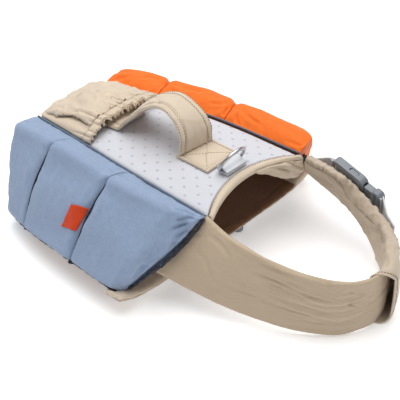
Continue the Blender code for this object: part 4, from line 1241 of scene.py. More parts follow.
def makePatch():
    (low, high), half = patchForm["x"], patchForm["half"]
    xs = low + (high - low) * edgedShares(high - low, 0.9, 1.1)
    ys = half * (2 * edgedShares(2 * half, 0.9, 1.1) - 1)
    x, y = np.meshgrid(xs, ys, indexing="ij")
    grid = facing(onBack(x, y, 0.4))
    down, wide = steps(grid)
    border = np.minimum(fromSides(wide), fromEnds(down))
    u, v = np.linspace(-1, 1, len(xs))[:, None], np.linspace(-1, 1, len(ys))[None, :]
    seam = patchForm["stitch"]
    crossed = np.minimum(np.abs(u - v), np.abs(u + v)) * 17 * ease(border, seam, seam + 1)
    height = -0.7 * bell(border, seam, 0.9)
    height -= 0.5 * bell(crossed, 0, 0.9) * (border > seam)
    height += 0.35 * ease(border, seam, seam + 3) + 0.2 * crinkles(grid, 14, 81)
    height += puckers(grid[..., 0] + grid[..., 1], np.abs(border - seam), 6, 3, 0.18, 82)
    height += 0.5 * bell(border, 1.4, 1.2)
    height *= rising(border, 0.7)
    return sew("handlePatch", grid, patchForm["thick"], "tanNylon", ["handle_patch"], "tan_cloth",
               patchForm["cut"], "laid", ["backPanel"], lean=1, edge=1.1, high=height)


faces["handle"] = makeHandle()
faces["patch"] = makePatch()
print("handle is made")


barForm = {"from": (50.3, 60, 75.6), "to": (43.5, 69.5, 60.5), "section": (1.5, 0.6)}


def makeRootBar():
    # the dark bar of stitches that holds the sleeve's foot
    path = evened(np.array((barForm["from"], barForm["to"])), 24)
    ahead = unit(path[-1] - path[0])
    wide = unit(np.cross(ahead, viewBack))
    grid = capped(rope(path, wide, np.cross(ahead, wide), 10, barForm["section"]), (0.5, 0.5))
    sewTube("rootBar", grid, "navyTape", [])


makeRootBar()

# Neck straps

neckForm = {
    # upper and lower edge of the strap, from the middle of the chest round to the shoulder
    "rows": ((175, 0, 50, 173, 0, 0), (171, 20, 51, 169, 20, 0),
             (160, 37, 53, 157, 37, 0.5), (142, 49, 56, 138, 53, 3),
             (120, 57, 60, 112, 67, 8), (95, 62, 65, 80, 79, 14),
             (68, 62, 70, 50, 88, 22), (47.4, 60, 76, 17, 97, 32)),
    "shoulder": 7, "strapEnd": 1.3, "thick": 5, "bow": 0.8, "tuck": 0.056, "slim": 3,
    "sleeveThick": 11, "thinning": 3.6, "wall": 1.6, "out": 3, "swell": 3, "mouth": (0.1, -0.62),
    "hollow": (-0.75, 1.65), "standFrom": 1.6,
    "sleeveStitch": 4.2, "mouthStitch": 3.2, "wrinkle": 0.8, "root": 6.74, "drawIn": 3.4, "stand": 3.2,
    # shares of the height at which the sleeve's lower edge and its two upper edges lie, round the strap
    "low": ((-0.7, 0), (3.1, 0), (3.5, 0.05), (4, 0.16), (4.5, 0.26), (5, 0.33), (7, 0.31)),
    "innerHigh": ((-0.7, 1.04), (1, 1.03), (2.2, 0.92), (3, 0.82), (3.5, 0.79), (4.6, 0.74), (4.95, 0.76),
                  (5.3, 1.02), (6, 1.07), (7, 1.06)),
    "outerHigh": ((-0.7, 1), (1.2, 0.99), (2, 0.92), (2.6, 0.84), (4.2, 0.83), (4.8, 0.87), (5.3, 0.92),
                  (6, 0.94), (7, 0.92)),
}
neckRows = [[row[0], -row[1], row[2], row[3], -row[4], row[5]] for row in reversed(neckForm["rows"][1:])]
neckRows += [list(row) for row in neckForm["rows"]]
strapFolds = [
    (228, 240, 262, 254, 300, 269, 334, 281, 1.22, -0.56),
    (236, 252, 272, 269, 316, 285, 352, 293, 1.15, -0.68),
    (250, 256, 290, 274, 330, 289, 366, 294, 1.08, 0.5), (238, 264, 272, 280, 312, 296, 352, 304, 1.3, -0.74),
    (258, 266, 292, 283, 330, 297, 368, 302, 1.08, -0.56), (262, 279, 304, 299, 346, 312, 1.3, -0.62),
    (232, 272, 266, 290, 300, 304, 340, 316, 1.22, -0.5), (290, 270, 326, 283, 362, 288, 1.08, -0.56),
    (300, 287, 334, 299, 370, 306, 1.01, 0.56), (206, 232, 222, 246, 234, 262, 1.87, -0.62),
    (214, 226, 236, 240, 252, 256, 1.58, -0.56), (190, 240, 206, 262, 214, 284, 2.16, -0.62),
    (340, 300, 356, 306, 374, 309, 1.08, -0.56), (345, 290, 360, 294, 376, 296, 1.01, -0.5),
    (280, 306, 320, 318, 356, 325, 1.3, -0.56),
]
sleeveFolds = [
    (341, 181, 346, 190, 349, 199, 2, -0.8), (330, 176, 342, 186, 350, 204, 1.8, 1),
    (352, 198, 358, 204, 365, 209, 1.6, -1), (378, 224, 382, 234, 384, 246, 2.2, -2),
    (374, 226, 378, 240, 380, 256, 2.4, 1.2), (312, 170, 326, 182, 336, 190, 1.8, 0.8),
    (356, 214, 366, 228, 372, 244, 2.2, 1), (352, 210, 364, 226, 370, 240, 1.6, -0.8),
    (388, 236, 393, 246, 394, 260, 2, -1.2), (384, 250, 388, 262, 387, 274, 2.2, -1.2),
]


def ringFrame(place):
    place += len(neckForm["rows"]) - 1
    row = along(neckRows, place)
    ahead = along(neckRows, place + 0.02) - row
    upper, lower = row[:3], row[3:]
    out = unit(np.cross(unit(ahead[:3] + ahead[3:]), unit(upper - lower)))
    within = out * neckForm["drawIn"] * bell(place - len(neckForm["rows"]), 0.4, 0.9)
    return lower - within, upper - within, out


def neckSection(place, outer, inner, low, high, innerHigh=None):
    # outer face, top, inner face and bottom, with labels 0 to 4 that say which one a point is on
    lower, upper, out = ringFrame(place)
    half = (outer - inner) / 2
    roundShare = half / np.linalg.norm(upper - lower)
    flatLow, flatHigh, inHigh = low + roundShare, high - roundShare, (innerHigh or high) - roundShare
    levels, turn, back = np.linspace(0, 1, 56), np.linspace(0, pi, 13)[1:-1], np.linspace(0, 1, 44) ** 1.3
    parts = [(flatLow + (flatHigh - flatLow) * levels, outer + neckForm["bow"] * 4 * levels * (1 - levels),
              levels * 0.999),
             (flatHigh + (inHigh - flatHigh) * (1 - np.cos(turn)) / 2 + roundShare * np.sin(turn),
              inner + half + half * np.cos(turn), 1 + turn / pi),
             (inHigh + (flatLow - inHigh) * back, inner + 0 * back, 2 + back * 0.999),
             (flatLow - roundShare * np.sin(turn), inner + half - half * np.cos(turn), 3 + turn / pi)]
    share, offset, labels = (np.concatenate(part) for part in zip(*parts))
    return lower + (upper - lower) * share[:, None] + out * offset[:, None], labels


def lengthwise(grid, size, stretch, seed):
    # noise that is drawn out along the strap
    down, across = steps(grid)
    return waves(np.stack((down / stretch, across, 0 * down), axis=-1), size, seed)


def outward(grid):
    normals = gridNormals(grid, True)
    middle = grid.mean(axis=1, keepdims=True)
    return normals if ((grid - middle) * normals).sum(axis=2).mean() > 0 else -normals


def makeStrap():
    places = np.linspace(-neckForm["shoulder"] - 0.1, neckForm["strapEnd"], 230)
    rings = []
    for p in places:
        slim = ease(p, -1, 0.1)
        rings.append(neckSection(p, -neckForm["slim"] * slim, -neckForm["thick"] - 0.6 * slim,
                                 neckForm["tuck"] * ease(p, -2.2, -0.9), 1))
    grid, labels = np.array([ring[0] for ring in rings]), rings[0][1]
    normals = outward(grid)
    down, across = steps(grid)
    face = np.where(labels < 1, np.sin(pi * np.clip(labels, 0, 1)) ** 0.6, 0.35)
    along0 = ease(down, 30, 90) * 0.75 + 0.25
    fine = 0.5 * lengthwise(grid, 3.4, 15, 101) + 0.5 * lengthwise(grid, 7, 9, 102)
    ridge = ridges(lengthwise(grid, 5.5, 12, 103), 1.8, 1.4)
    ridge += 0.7 * ridges(lengthwise(grid, 11, 5, 107), 2.2, 1.4)
    height = neckForm["wrinkle"] * face * along0 * (0.6 * fine + 0.6 * ridge)
    height += 0.5 * waves(grid, 55, 104) * face
    height += puckers(across, down, 8, 9, 0.5, 105) * (labels < 1)
    height += puckers(down, np.minimum(np.abs(labels - 1), np.abs(labels - 4)) * 50, 11, 8, 0.22, 106)
    height += foldHeights(grid, strapFolds, True)
    height *= np.clip((down[-1:] - down) / 25, 0.1, 1)
    grid = grid + normals * height[..., None]
    # the strap's cloth is the tan nylon painted darker, as painted shade
    sewTube("rightNeckStrap", capped(grid, (0.4, 0.4)), "shadedTanStrap", ["right_neck_strap"])


def slanted(grid, places, starts, ends, count):
    # the same surface with each of its columns running between places of its own
    rows = np.linspace(starts, ends, count)
    order = np.argsort(places)
    return np.stack([sampled(grid[order, c], places[order], rows[:, c]) for c in range(grid.shape[1])], 1)


def sleeveOut(place):
    return neckForm["out"] + neckForm["swell"] * float(ease(place, 1.8, 4.4) - 0.5 * ease(place, 5.6, 7))


def mouthStand(place):
    # how far the outer wall stands off further towards the mouth
    return neckForm["stand"] * float(ease(neckForm["standFrom"] - place, 0, neckForm["standFrom"]))


def makeSleeve():
    form = neckForm
    rings = []
    places = np.linspace(form["root"], form["hollow"][0], 260)
    outerMouth, innerMouth = form["mouth"]
    for p in places:
        low, innerHigh, outerHigh = (valueAt(form[key], p) for key in ("low", "innerHigh", "outerHigh"))
        thick = form["sleeveThick"] - form["thinning"] * ease(p, 1.2, 3.8)
        inner = sleeveOut(p) - thick
        rings.append(neckSection(p, sleeveOut(p) + mouthStand(p), inner, low, outerHigh, innerHigh))
    grid, labels = np.array([ring[0] for ring in rings]), rings[0][1]
    mouth = np.interp(labels, (1, 1.85, 3, 4), (outerMouth, innerMouth, innerMouth, outerMouth))
    grid = slanted(grid, places, form["root"] + 0 * mouth, mouth, 380)
    places = np.linspace(form["root"], innerMouth, 380)
    normals = outward(grid)
    down, across = steps(grid)
    left = down[-1:] - down
    padded = ease(places, 0.3, 1.6)[:, None]
    toStitch = np.abs(np.where((labels > 1) & (labels < 3), (labels - 2) * 46 - form["sleeveStitch"], 99))
    height = -3 * padded * bell(toStitch, 0, 1.1)
    band = np.exp(-(np.clip(np.abs(labels - 1.5) - 0.5, 0, 9) / 0.12) ** 2)
    height += band * padded * (0.5 + 0.7 * crinkles(np.stack((down, across / 2.5, 0 * down), -1), 9, 111)
                               + puckers(down, np.clip(toStitch, 0, 20), 4.4, 9, 1, 112)
                               + 0.35 * waves(grid, 5.5, 118))
    inner = ((labels > 2.05) & (labels < 3)) * 1
    height += inner * (0.6 * lengthwise(grid, 13, 2.4, 113) + 0.55 * crinkles(grid, 20, 114))
    outerFace = (labels < 1) * np.sin(pi * np.clip(labels, 0, 1))
    height += outerFace * (0.5 * waves(grid, 30, 115) + 0.45 * crinkles(grid, 22, 116))
    height += puckers(across, left, 9, 6, 0.3, 117) - 0.4 * bell(left, form["mouthStitch"], 0.9)
    height += foldHeights(grid, sleeveFolds, True)
    height *= rising(left, 1.5)
    grid = grid + normals * height[..., None]
    inside = np.linspace(*form["hollow"], 90)
    hollow = []
    for p in inside:
        outer = form["out"] + mouthStand(p) - form["wall"]
        inner = form["out"] - form["sleeveThick"] + form["wall"]
        hollow.append(neckSection(p, outer, inner, 0.03, 0.985, 1.01)[0])
    hollow = slanted(np.array(hollow), inside, mouth, form["hollow"][1] + 0 * mouth, 60)
    ahead = unit(grid[-1] - grid[-4])
    rim = []
    for angle in np.linspace(0, pi, 7)[1:-1]:
        share = (1 - cos(angle)) / 2
        rim.append(grid[-1] * (1 - share) + hollow[0] * share + ahead * 0.8 * sin(angle))
    full = np.concatenate((capped(grid, (0.4, 0))[:-len(capShares)], rim, hollow))
    # the sleeve's cloth is the tan nylon painted darker, as painted shade
    sewTube("leftNeckSleeve", full, "shadedTanSleeve", ["left_neck_sleeve"])
    return grid, normals, labels


makeStrap()
faces["sleeve"] = makeSleeve()
print("neck straps are made")

# Belly panel, its bindings and its strap

bellyForm = {"rows": (0.72, 3.12), "thick": 2, "gap": 0.4, "slack": 1.4, "lift": 7.3, "liftRows": (1.95, 2.4),
             "slopeIn": 13, "flatIn": 32, "edge": (0.36, 0.26), "bindingThick": 1.3,
             "cut": (0.235, 0.135), "hem": (-15, 0.6), "hemDrop": 1.6, "hemCut": (0.0195, 0.26),
             "strapRow": 2.8, "strapY": (110, 101, 92, 80, 66), "strapDrop": 2, "strapCut": (0.024, 0.085),
             "seams": (11, 15.5), "hemSeams": (2.4, 5.2)}


def bellyColumns(place):
    _, _, hem, inner = floatCorners(1, place)
    edge = hem + (inner - hem) * (bellyForm["edge"][0] - bellyForm["edge"][1] * float(ease(place, 2.6, 3)))
    lift = bellyForm["lift"] * float(ease(place, *bellyForm["liftRows"]))
    under = bellyForm["thick"] + bellyForm["gap"] + bellyForm["slack"]
    bend = inner[2] - under
    y = [0, (inner[1] - bellyForm["flatIn"]) / 2, inner[1] - bellyForm["flatIn"],
         inner[1] - bellyForm["slopeIn"], inner[1] + 1, edge[1]]
    return y, [lift, lift, lift, lift + 0.4 * (bend - lift), bend, edge[2] - under]


def bellyGrid(places, shares):
    rows = []
    for place in places:
        y, z = bellyColumns(place)
        reach = np.abs(shares) * y[-1]
        smooth = blurred(np.interp(reach, y, z), 6)
        x = floatCorners(1, place)[3][0]
        rows.append(np.stack((x + 0 * reach, np.sign(shares) * reach, smooth), axis=-1))
    return facing(np.array(rows))


def makeBelly():
    places = np.linspace(*bellyForm["rows"], 110)
    grid = bellyGrid(places, np.linspace(-1, 1, 130))
    down, across = steps(grid)
    front = np.abs(grid[..., 0] - grid[..., 0].max())
    side = fromSides(across)
    height = np.clip(0.35 * waves(grid, 50, 121) + 0.35 * crinkles(grid, 44, 122), -0.2, 3)
    for inset in bellyForm["seams"]:
        height -= 0.5 * bell(front, inset, 0.8)
    height += 0.5 * bell(front, 13.2, 1.4)
    height *= np.clip(np.minimum(front, side) / 3, 0, 1)
    faces["belly"] = sew("bellyPanel", grid, bellyForm["thick"], "brownLining", ["belly_panel"],
                         "brown_lining", bellyForm["cut"], "stretched",
                         ["right_side_panel", "left_side_panel"], lean=1, high=height)
    # binding folded over the front edge
    edge = grid[-1] if grid[-1, :, 0].mean() > grid[0, :, 0].mean() else grid[0]
    edge = evened(edge, 200)
    lift = bellyForm["thick"] / 2
    for name, low, high, wide, material in (("bellyBinding", -66, 97, 9, "rustBinding"),
                                            ("rightCorner", -128.4, -66.4, 17, "tanNylon"),
                                            ("leftCorner", 97.4, 130, 17, "tanNylon")):
        part = edge[(edge[:, 1] >= low) & (edge[:, 1] <= high)]
        part = evened(part, int(abs(part[-1, 1] - part[0, 1]) / 1.2))
        rings = []
        for n, point in enumerate(part):
            reach, skin = wide * (1 - 0.08 * sin(n * 0.7)), bellyForm["bindingThick"]
            section = [(-reach, 0, lift + 0.1), (-reach * 0.6, 0, lift + skin), (-2, 0, lift + skin * 1.1),
                       (0.6, 0, lift + 0.5), (skin + 0.2, 0, 0), (0.6, 0, -lift - 0.3),
                       (-2, 0, -lift - skin * 0.7), (-reach * 0.6, 0, -lift - skin * 0.6),
                       (-reach, 0, -lift - 0.1)]
            rings.append([point + (0, 0, lift) + along(section, t) for t in np.linspace(0, 8, 36)])
        ring = np.array(rings)
        out = outward(ring)
        lengths = steps(ring)[0]
        height = 0.16 * waves(ring, 9, 123) + puckers(lengths, 0 * lengths, 7, 9, 0.12, 124)
        ring = ring + out * height[..., None]
        sewTube(name, capped(ring, (0.8, 0.8)), material, [])
    # the outer cloth shows as a hem below the front edge
    low, high = bellyForm["hem"]
    hem = facing(np.array([edge + (low + (high - low) * t, 0, -bellyForm["hemDrop"])
                           for t in edgedShares(high - low, 1.3, 0.8)]), (0, 0, -1))
    down, across = steps(hem)
    folds = puckers(across, np.abs(down - 3), 9, 5, 0.25, 125) + 0.4 * crinkles(hem, 20, 126)
    for inset in bellyForm["hemSeams"]:
        folds -= 0.6 * bell(fromEnds(down), inset, 0.7)
    faces["bellyHem"] = sew("bellyHem", hem, bellyForm["bindingThick"], "tanNylon", [], "tan_lining",
                            bellyForm["hemCut"], "stretched", ["bellyPanel"], high=folds, low=0 * folds)


makeBelly()
print("belly panel is made")

# Webbing

webbingForm = {"width": 24, "thick": 1.4}


def ribbon(name, node, path, across, count, seed, cut, held, on, wave=0.12):
    # webbing along a path of middles, with a direction across it at each
    path, across = np.array(path, float), np.array(across, float)
    places = np.linspace(0, len(path) - 1, count)
    middles = np.array([along(path, place) for place in places])
    sides = unit(np.array([along(across, place) for place in places]))
    places = (edgedShares(webbingForm["width"], 0.9, 0.8) - 0.5) * webbingForm["width"]
    grid = middles[:, None] + sides[:, None] * places[None, :, None]
    wide = steps(grid)[1]
    rim = fromSides(wide)
    ribs = (0.05 * np.sin(wide * tau / 2.4) + 0.12 * bell(rim, 1, 0.7)) * (rim > 0.3)
    grid = lifted(grid, wave * waves(grid, 16, 200 + seed))
    sew(name, grid, webbingForm["thick"], "greyWebbing", [node], "grey_webbing", cut, held, [on],
        edge=0.6, high=ribs, low=ribs)


ringForm = {"barX": 18, "wire": 1.5, "half": 14.2, "side": 4, "corner": 2.6, "tilt": 60, "gap": 0.4,
            "webbingEnd": 26.4, "cut": (0.024, 0.026)}
ringFold = ringForm["wire"] + ringForm["gap"] + webbingForm["thick"] / 2
ringLow = float(onBack(ringForm["barX"], 0)[2]) + ringForm["gap"] + webbingForm["thick"] / 2
ringBarZ = ringLow + ringFold


def makeRingWebbing():
    barX, end = ringForm["barX"], ringForm["webbingEnd"]
    path = [(end, 0, ringLow), (barX + 4, 0, ringLow)]
    for angle in np.radians(np.linspace(-90, -270, 9)):
        path.append((barX + ringFold * cos(angle), 0, ringBarZ + ringFold * sin(angle)))
    path += [(barX + 3, 0, ringBarZ + ringFold * 0.5), (barX + 5.4, 0, ringLow + webbingForm["thick"] + 1),
             (end, 0, ringLow + webbingForm["thick"] + 0.5)]
    ribbon("ringWebbing", "ring_webbing", path, [(0, 1, 0)] * len(path), 90, 1, ringForm["cut"], "folded",
           "backPanel", wave=0.06)


makeRingWebbing()


def makeLeadRing():
    # one D of bent wire, swept round its own outline and tilted on its bar
    half, side, corner, wire = (ringForm[key] for key in ("half", "side", "corner", "wire"))
    bar = half - corner
    outline = [(0, y) for y in np.linspace(-bar, bar, 9)]
    outline += [(corner - corner * cos(a), bar + corner * sin(a)) for a in np.radians((22, 45, 68, 90))]
    outline += [(side + half * cos(a), half * sin(a)) for a in np.radians(np.linspace(88, -88, 34))]
    outline += [(corner - corner * cos(a), -bar - corner * sin(a)) for a in np.radians((90, 68, 45, 22))]
    data = bpy.data.curves.new("leadRing", "CURVE")
    data.dimensions = "3D"
    data.bevel_depth = wire * mm
    data.bevel_resolution = 5
    spline = data.splines.new("POLY")
    spline.points.add(len(outline) - 1)
    tilt = radians(ringForm["tilt"])
    for point, (depth, y) in zip(spline.points, outline):
        x, z = ringForm["barX"] + depth * cos(tilt), ringBarZ + depth * sin(tilt)
        point.co = (x * mm, y * mm, z * mm, 1)
    spline.use_cyclic_u = True
    pick(newObject("leadRing", data))
    bpy.ops.object.convert(target="MESH")
    obj = bpy.context.active_object
    obj.data.polygons.foreach_set("use_smooth", [True] * len(obj.data.polygons))
    obj.data.materials.clear()
    obj.data.materials.append(mats["steelWire"])
    declare(obj, ["lead_ring"], body="lead_ring")


makeLeadRing()
print("lead ring is made")

# Side-release buckles

buckleForm = {
    "width": 31, "socket": 38, "plug": 19, "corner": 6.4, "edge": 1.3, "plugShare": 0.86, "gap": 0.2,
    "slotIn": 5, "slot": 3.6, "slotRoom": (0.6, 0.4), "window": (10.5, 5.2), "armWide": 4.6,
    "shoulder": {"row": 5.04, "height": 0.67, "standOff": 2, "thick": 9},
    "belly": {"x": -5, "y": 9, "turn": -10, "thick": 6.6},
}


def roundedPlate(name, low, high, thick, corner, dome):
    # a plate between two (x, y) corners, rounded, with a crowned top and underside
    pick()
    bpy.ops.mesh.primitive_plane_add(size=1)
    obj = bpy.context.active_object
    obj.name = name
    bpy.ops.object.mode_set(mode="EDIT")
    (x0, y0), (x1, y1) = low, high
    bpy.ops.transform.resize(value=((x1 - x0) * mm, (y1 - y0) * mm, 1))
    bpy.ops.transform.translate(value=((x1 + x0) / 2 * mm, (y1 + y0) / 2 * mm, -thick / 2 * mm))
    bpy.ops.mesh.bevel(offset=corner * mm, segments=6, affect="VERTICES")
    bpy.ops.mesh.extrude_region_move(TRANSFORM_OT_translate={"value": (0, 0, thick * mm)})
    bpy.ops.mesh.select_all(action="SELECT")
    bpy.ops.mesh.normals_make_consistent(inside=False)
    for way in (1, -1):
        for inset, rise in dome:
            bpy.ops.mesh.select_all(action="DESELECT")
            bpy.ops.object.mode_set(mode="OBJECT")
            flats = [f for f in obj.data.polygons if f.normal.z * way > 0.99]
            max(flats, key=lambda f: f.area * (abs(f.center.z) > thick * 0.4 * mm)).select = True
            bpy.ops.object.mode_set(mode="EDIT")
            bpy.ops.mesh.inset(thickness=inset * mm, depth=0)
            bpy.ops.transform.translate(value=(0, 0, way * rise * mm))
    bpy.ops.object.mode_set(mode="OBJECT")
    return obj


def cutBlock(obj, size, middle, soft=0.6):
    pick()
    bpy.ops.mesh.primitive_cube_add(size=1)
    block = bpy.context.active_object
    bpy.ops.object.mode_set(mode="EDIT")
    bpy.ops.transform.resize(value=tuple(v * mm for v in size))
    bpy.ops.transform.translate(value=tuple(v * mm for v in middle))
    bpy.ops.mesh.bevel(offset=soft * mm, segments=3, affect="EDGES")
    bpy.ops.object.mode_set(mode="OBJECT")
    cut = obj.modifiers.new("Cut", "BOOLEAN")
    cut.operation, cut.solver, cut.object = "DIFFERENCE", "MANIFOLD", block
    pick(obj)
    bpy.ops.object.modifier_apply(modifier="Cut")
    bpy.data.objects.remove(block, do_unlink=True)


def finishHard(obj, place, edge, node, parts=()):
    pick(obj, *parts)
    if parts:
        bpy.ops.object.join()
    bevel = obj.modifiers.new("Edge", "BEVEL")
    bevel.width, bevel.segments, bevel.angle_limit = edge * mm, 3, radians(38)
    bevel.use_clamp_overlap = True
    bpy.ops.object.modifier_apply(modifier="Edge")
    bpy.ops.object.shade_smooth_by_angle(angle=radians(42))
    obj.data.transform(place)
    obj.data.materials.clear()
    obj.data.materials.append(mats["darkPlastic"])
    declare(obj, [node])


def makeBuckle(prefix, thick, place):
    form = buckleForm
    half, gap = form["width"] / 2, form["gap"]
    slots = [(form["slot"], webbingForm["width"] + room, 3 * thick) for room in form["slotRoom"]]
    socket = roundedPlate(f"{prefix}Socket", (-form["socket"], -half), (-gap, half), thick - 1.9,
                          form["corner"], ((2.2, 0.55), (2.4, 0.28), (3.2, 0.13)))
    cutBlock(socket, slots[0], (form["slotIn"] - form["socket"], 0, 0))
    for side in (-1, 1):
        cutBlock(socket, (form["window"][0], 2 * form["window"][1], thick * 0.36), (-14, side * half, 0), 1.2)
    cutBlock(socket, (3, 2 * half - 7, thick * 0.5), (-0.5, 0, 0), 0.5)
    finishHard(socket, place, 1.1, f"{prefix}_socket")
    plug = thick * form["plugShare"]
    body = roundedPlate(f"{prefix}Plug", (9, 1 - half), (form["plug"], half - 1), plug - 1.1, 4.6,
                        ((1.8, 0.4), (2.2, 0.15)))
    cutBlock(body, slots[1], (form["plug"] - form["slotIn"], 0, 0))
    neck = roundedPlate("neck", (gap, 4 - half), (10.5, half - 4), plug - 1.6, 1.2, ((1, 0.15),))
    tongue = roundedPlate("tongue", (-9, -3.2), (1.5, 3.2), plug * 0.4, 1.2, ((0.8, 0.1),))
    arms = [roundedPlate("arm", (-19.2, side * (half - 2.7) - form["armWide"] / 2),
                         (-8.8, side * (half - 2.7) + form["armWide"] / 2), thick * 0.33, 1.6, ((0.9, 0.1),))
            for side in (-1, 1)]
    finishHard(body, place, 0.7, f"{prefix}_plug", (neck, tongue, *arms))


def shoulderPlace():
    form = buckleForm["shoulder"]
    lower, upper, out = ringFrame(form["row"])
    centre = lower + (upper - lower) * form["height"]
    centre = centre + out * (sleeveOut(form["row"]) + form["standOff"] + form["thick"] / 2)
    ahead, back = ringFrame(form["row"] - 0.8), ringFrame(form["row"] + 0.8)
    forward = unit(ahead[0] * 0.3 + ahead[1] * 0.7 - back[0] * 0.3 - back[1] * 0.7)
    rise = unit(np.cross(out, forward))
    out = unit(np.cross(forward, rise))
    centre = centre + forward * (buckleForm["socket"] - buckleForm["plug"]) / 2
    turn = Matrix((forward, rise, out)).transposed().to_4x4()
    return Matrix.Translation(Vector(centre) * mm) @ turn, centre, forward, -rise, out


shoulderMatrix, shoulderAt, forward, rise, outOf = shoulderPlace()
makeBuckle("shoulder", buckleForm["shoulder"]["thick"], shoulderMatrix)
bellyTurn = radians(buckleForm["belly"]["turn"])
bellyAt = Vector((buckleForm["belly"]["x"], buckleForm["belly"]["y"], buckleForm["belly"]["thick"] / 2))
bellyMatrix = Matrix.Translation(bellyAt * mm) @ Matrix.Rotation(bellyTurn + pi / 2, 4, "Z")
makeBuckle("belly", buckleForm["belly"]["thick"], bellyMatrix)
print("buckles are made")

shoulderWebbing = {"start": (6.6, 0.55, 2.4), "bow": ((0, 0), (0.15, 2), (0.45, 4), (0.75, 2.4)),
                   "front": ((3.6, 0.61, 3.6), (3.35, 0.61, 2.6), (3, 0.61, 2.2)), "rearCut": (0.024, 0.04),
                   "frontCut": (0.024, 0.045)}


def onStrap(row, height, away):
    lower, upper, normal = ringFrame(row)
    return lower + (upper - lower) * height + normal * (sleeveOut(row) + away), unit(upper - lower)


def makeShoulderWebbing():
    form = shoulderWebbing
    start, startUp = onStrap(*form["start"])
    bar = shoulderAt - forward * (buckleForm["socket"] - buckleForm["slotIn"] - 1.2)
    path = [start * (1 - share) + bar * share + outOf * (bow + 0.6 * share) for share, bow in form["bow"]]
    across = [startUp * (1 - share) + rise * share for share, _ in form["bow"]] + [rise] * 4
    path += [bar + outOf * 1.3 - forward * 1.6, bar + forward * 0.2, bar - outOf * 1.9 - forward * 1.6,
             bar - outOf * 2.2 - forward * 8]
    ribbon("shoulderWebbingRear", "shoulder_webbing_rear", path, across, 110, 2, form["rearCut"],
           "stretched", "leftNeckSleeve")
    bar = shoulderAt + forward * (buckleForm["plug"] - buckleForm["slotIn"] + 1.2)
    path = [bar - outOf * 1.9 + forward * 5, bar - outOf * 1.9 + forward * 1.2, bar - forward * 0.4,
            bar + outOf * 1.9 + forward * 1.4]
    points, ups = zip(*(onStrap(*place) for place in form["front"]))
    path, across = path + list(points), [rise] * 4 + list(ups)
    ribbon("shoulderWebbingFront", "shoulder_webbing_front", path, across, 90, 3, form["frontCut"],
           "stretched", "leftNeckSleeve")


makeShoulderWebbing()


def makeBellyStraps():
    y, z = bellyColumns(bellyForm["strapRow"])
    endGap = 0.8
    for side, sideName, end in ((-1, "right", -buckleForm["socket"] - endGap),
                                (1, "left", buckleForm["plug"] + endGap)):
        joint = np.array(bellyMatrix @ (Vector((end, 0, 0)) * mm)) / mm
        path = [np.array((bellyAt.x, side * reach, float(np.interp(reach, y, z)) - bellyForm["strapDrop"]))
                for reach in bellyForm["strapY"]]
        path += [path[-1] * 0.5 + joint * 0.5, joint]
        turned = towards(np.array(bellyMatrix.to_3x3().col[1]) * side, (side, 0, 0))
        across = [(side, 0, 0)] * len(bellyForm["strapY"]) + [turned, turned]
        ribbon(f"{sideName}BellyStrap", f"belly_strap_{sideName}", path, across, 100, 6 + side,
               bellyForm["strapCut"], "stretched", "bellyPanel")


makeBellyStraps()
print("webbing is made")

# Tapes along the floats' open edges

tapeForm = {"width": 4.2, "thick": 1.3, "out": 1.1, "down": 0.34, "knot": 1.1, "knotReach": 2.2,
            "block": 80, "frontWidth": 7.2, "frontThick": 1.1, "ragged": 0.8, "frontCut": (0.01, 0.056)}


def makeHemTape(side, sideName):
    places = np.linspace(0, 2.97, 220)
    parts = []
    for place in places:
        _, _, hem, inner = floatCorners(side, place)
        across = unit(hem - inner)
        normal = unit(towards(np.cross(across, (1, 0, 0)), (0, 0, -1)))
        parts.append((hem + (inner - hem) * tapeForm["down"] + normal * tapeForm["out"], across, normal))
    path, wide, out = np.array(parts).transpose(1, 0, 2)
    toKnot = np.abs(places[:, None] - (1, 2)).min(axis=1) * tapeForm["block"]
    knot = 1 + tapeForm["knot"] * bell(toKnot, 0, tapeForm["knotReach"])
    grid = rope(path, wide, out, 20, (tapeForm["width"] / 2, tapeForm["thick"] / 2), knot, 0.7)
    grid = grid + outward(grid) * (0.2 * waves(grid, 7, 131 + side))[..., None]
    sewTube(f"{sideName}HemTape", capped(grid, (0.5, 0.5)), "navyTape", [])


def makeFrontTape(side, sideName):
    seam, ridge, _, inner = floatCorners(side, 3)
    run = unit(inner - seam)
    out = ridge - seam
    out = unit(out - run * (out @ run))
    ahead = towards(np.cross(run, out), (1, 0, 0))
    length = np.linalg.norm(inner - seam)
    shares = np.linspace(0 if side < 0 else 0.3, 1, 130)
    base = np.array([seam + (inner - seam) * share for share in shares])
    if side < 0:
        base = base + frontBow(side, base, 1)
    line = inLine(shares * length)
    width = tapeForm["frontWidth"] * (0.75 + 0.25 * np.sin(pi * shares))
    width += tapeForm["ragged"] * waves(line, 5, 141)
    ragged = 0.7 * waves(line, 4.2, 142) + 0.4 * waves(line, 9, 143)
    t = edgedShares(6, 0.7, 0.5)[:, None]
    rows = [point + out * (tall * t - 0.3) + ahead * (0.7 + 0.9 * rag * t + 0.4 * t)
            for point, tall, rag in zip(base, width, ragged)]
    grid = facing(np.array(rows), ahead)
    sew(f"{sideName}FrontTape", grid, tapeForm["frontThick"], "navyTape", [], "slate_piping",
        tapeForm["frontCut"], "gathered", [f"{sideName}FloatFront"], edge=0.5,
        high=0.15 * waves(grid, 4, 144))


for side, sideName in bothSides:
    makeHemTape(side, sideName)
    makeFrontTape(side, sideName)
print("tapes are made")

# Stitches

boldForm = {"pitch": 2.5, "length": 2.3, "radius": 0.4, "lift": 0.1, "dip": 0.2}
threadForm = {"pitch": 2.6, "length": 2.1, "radius": 0.26, "lift": 0.06, "dip": 0.22}


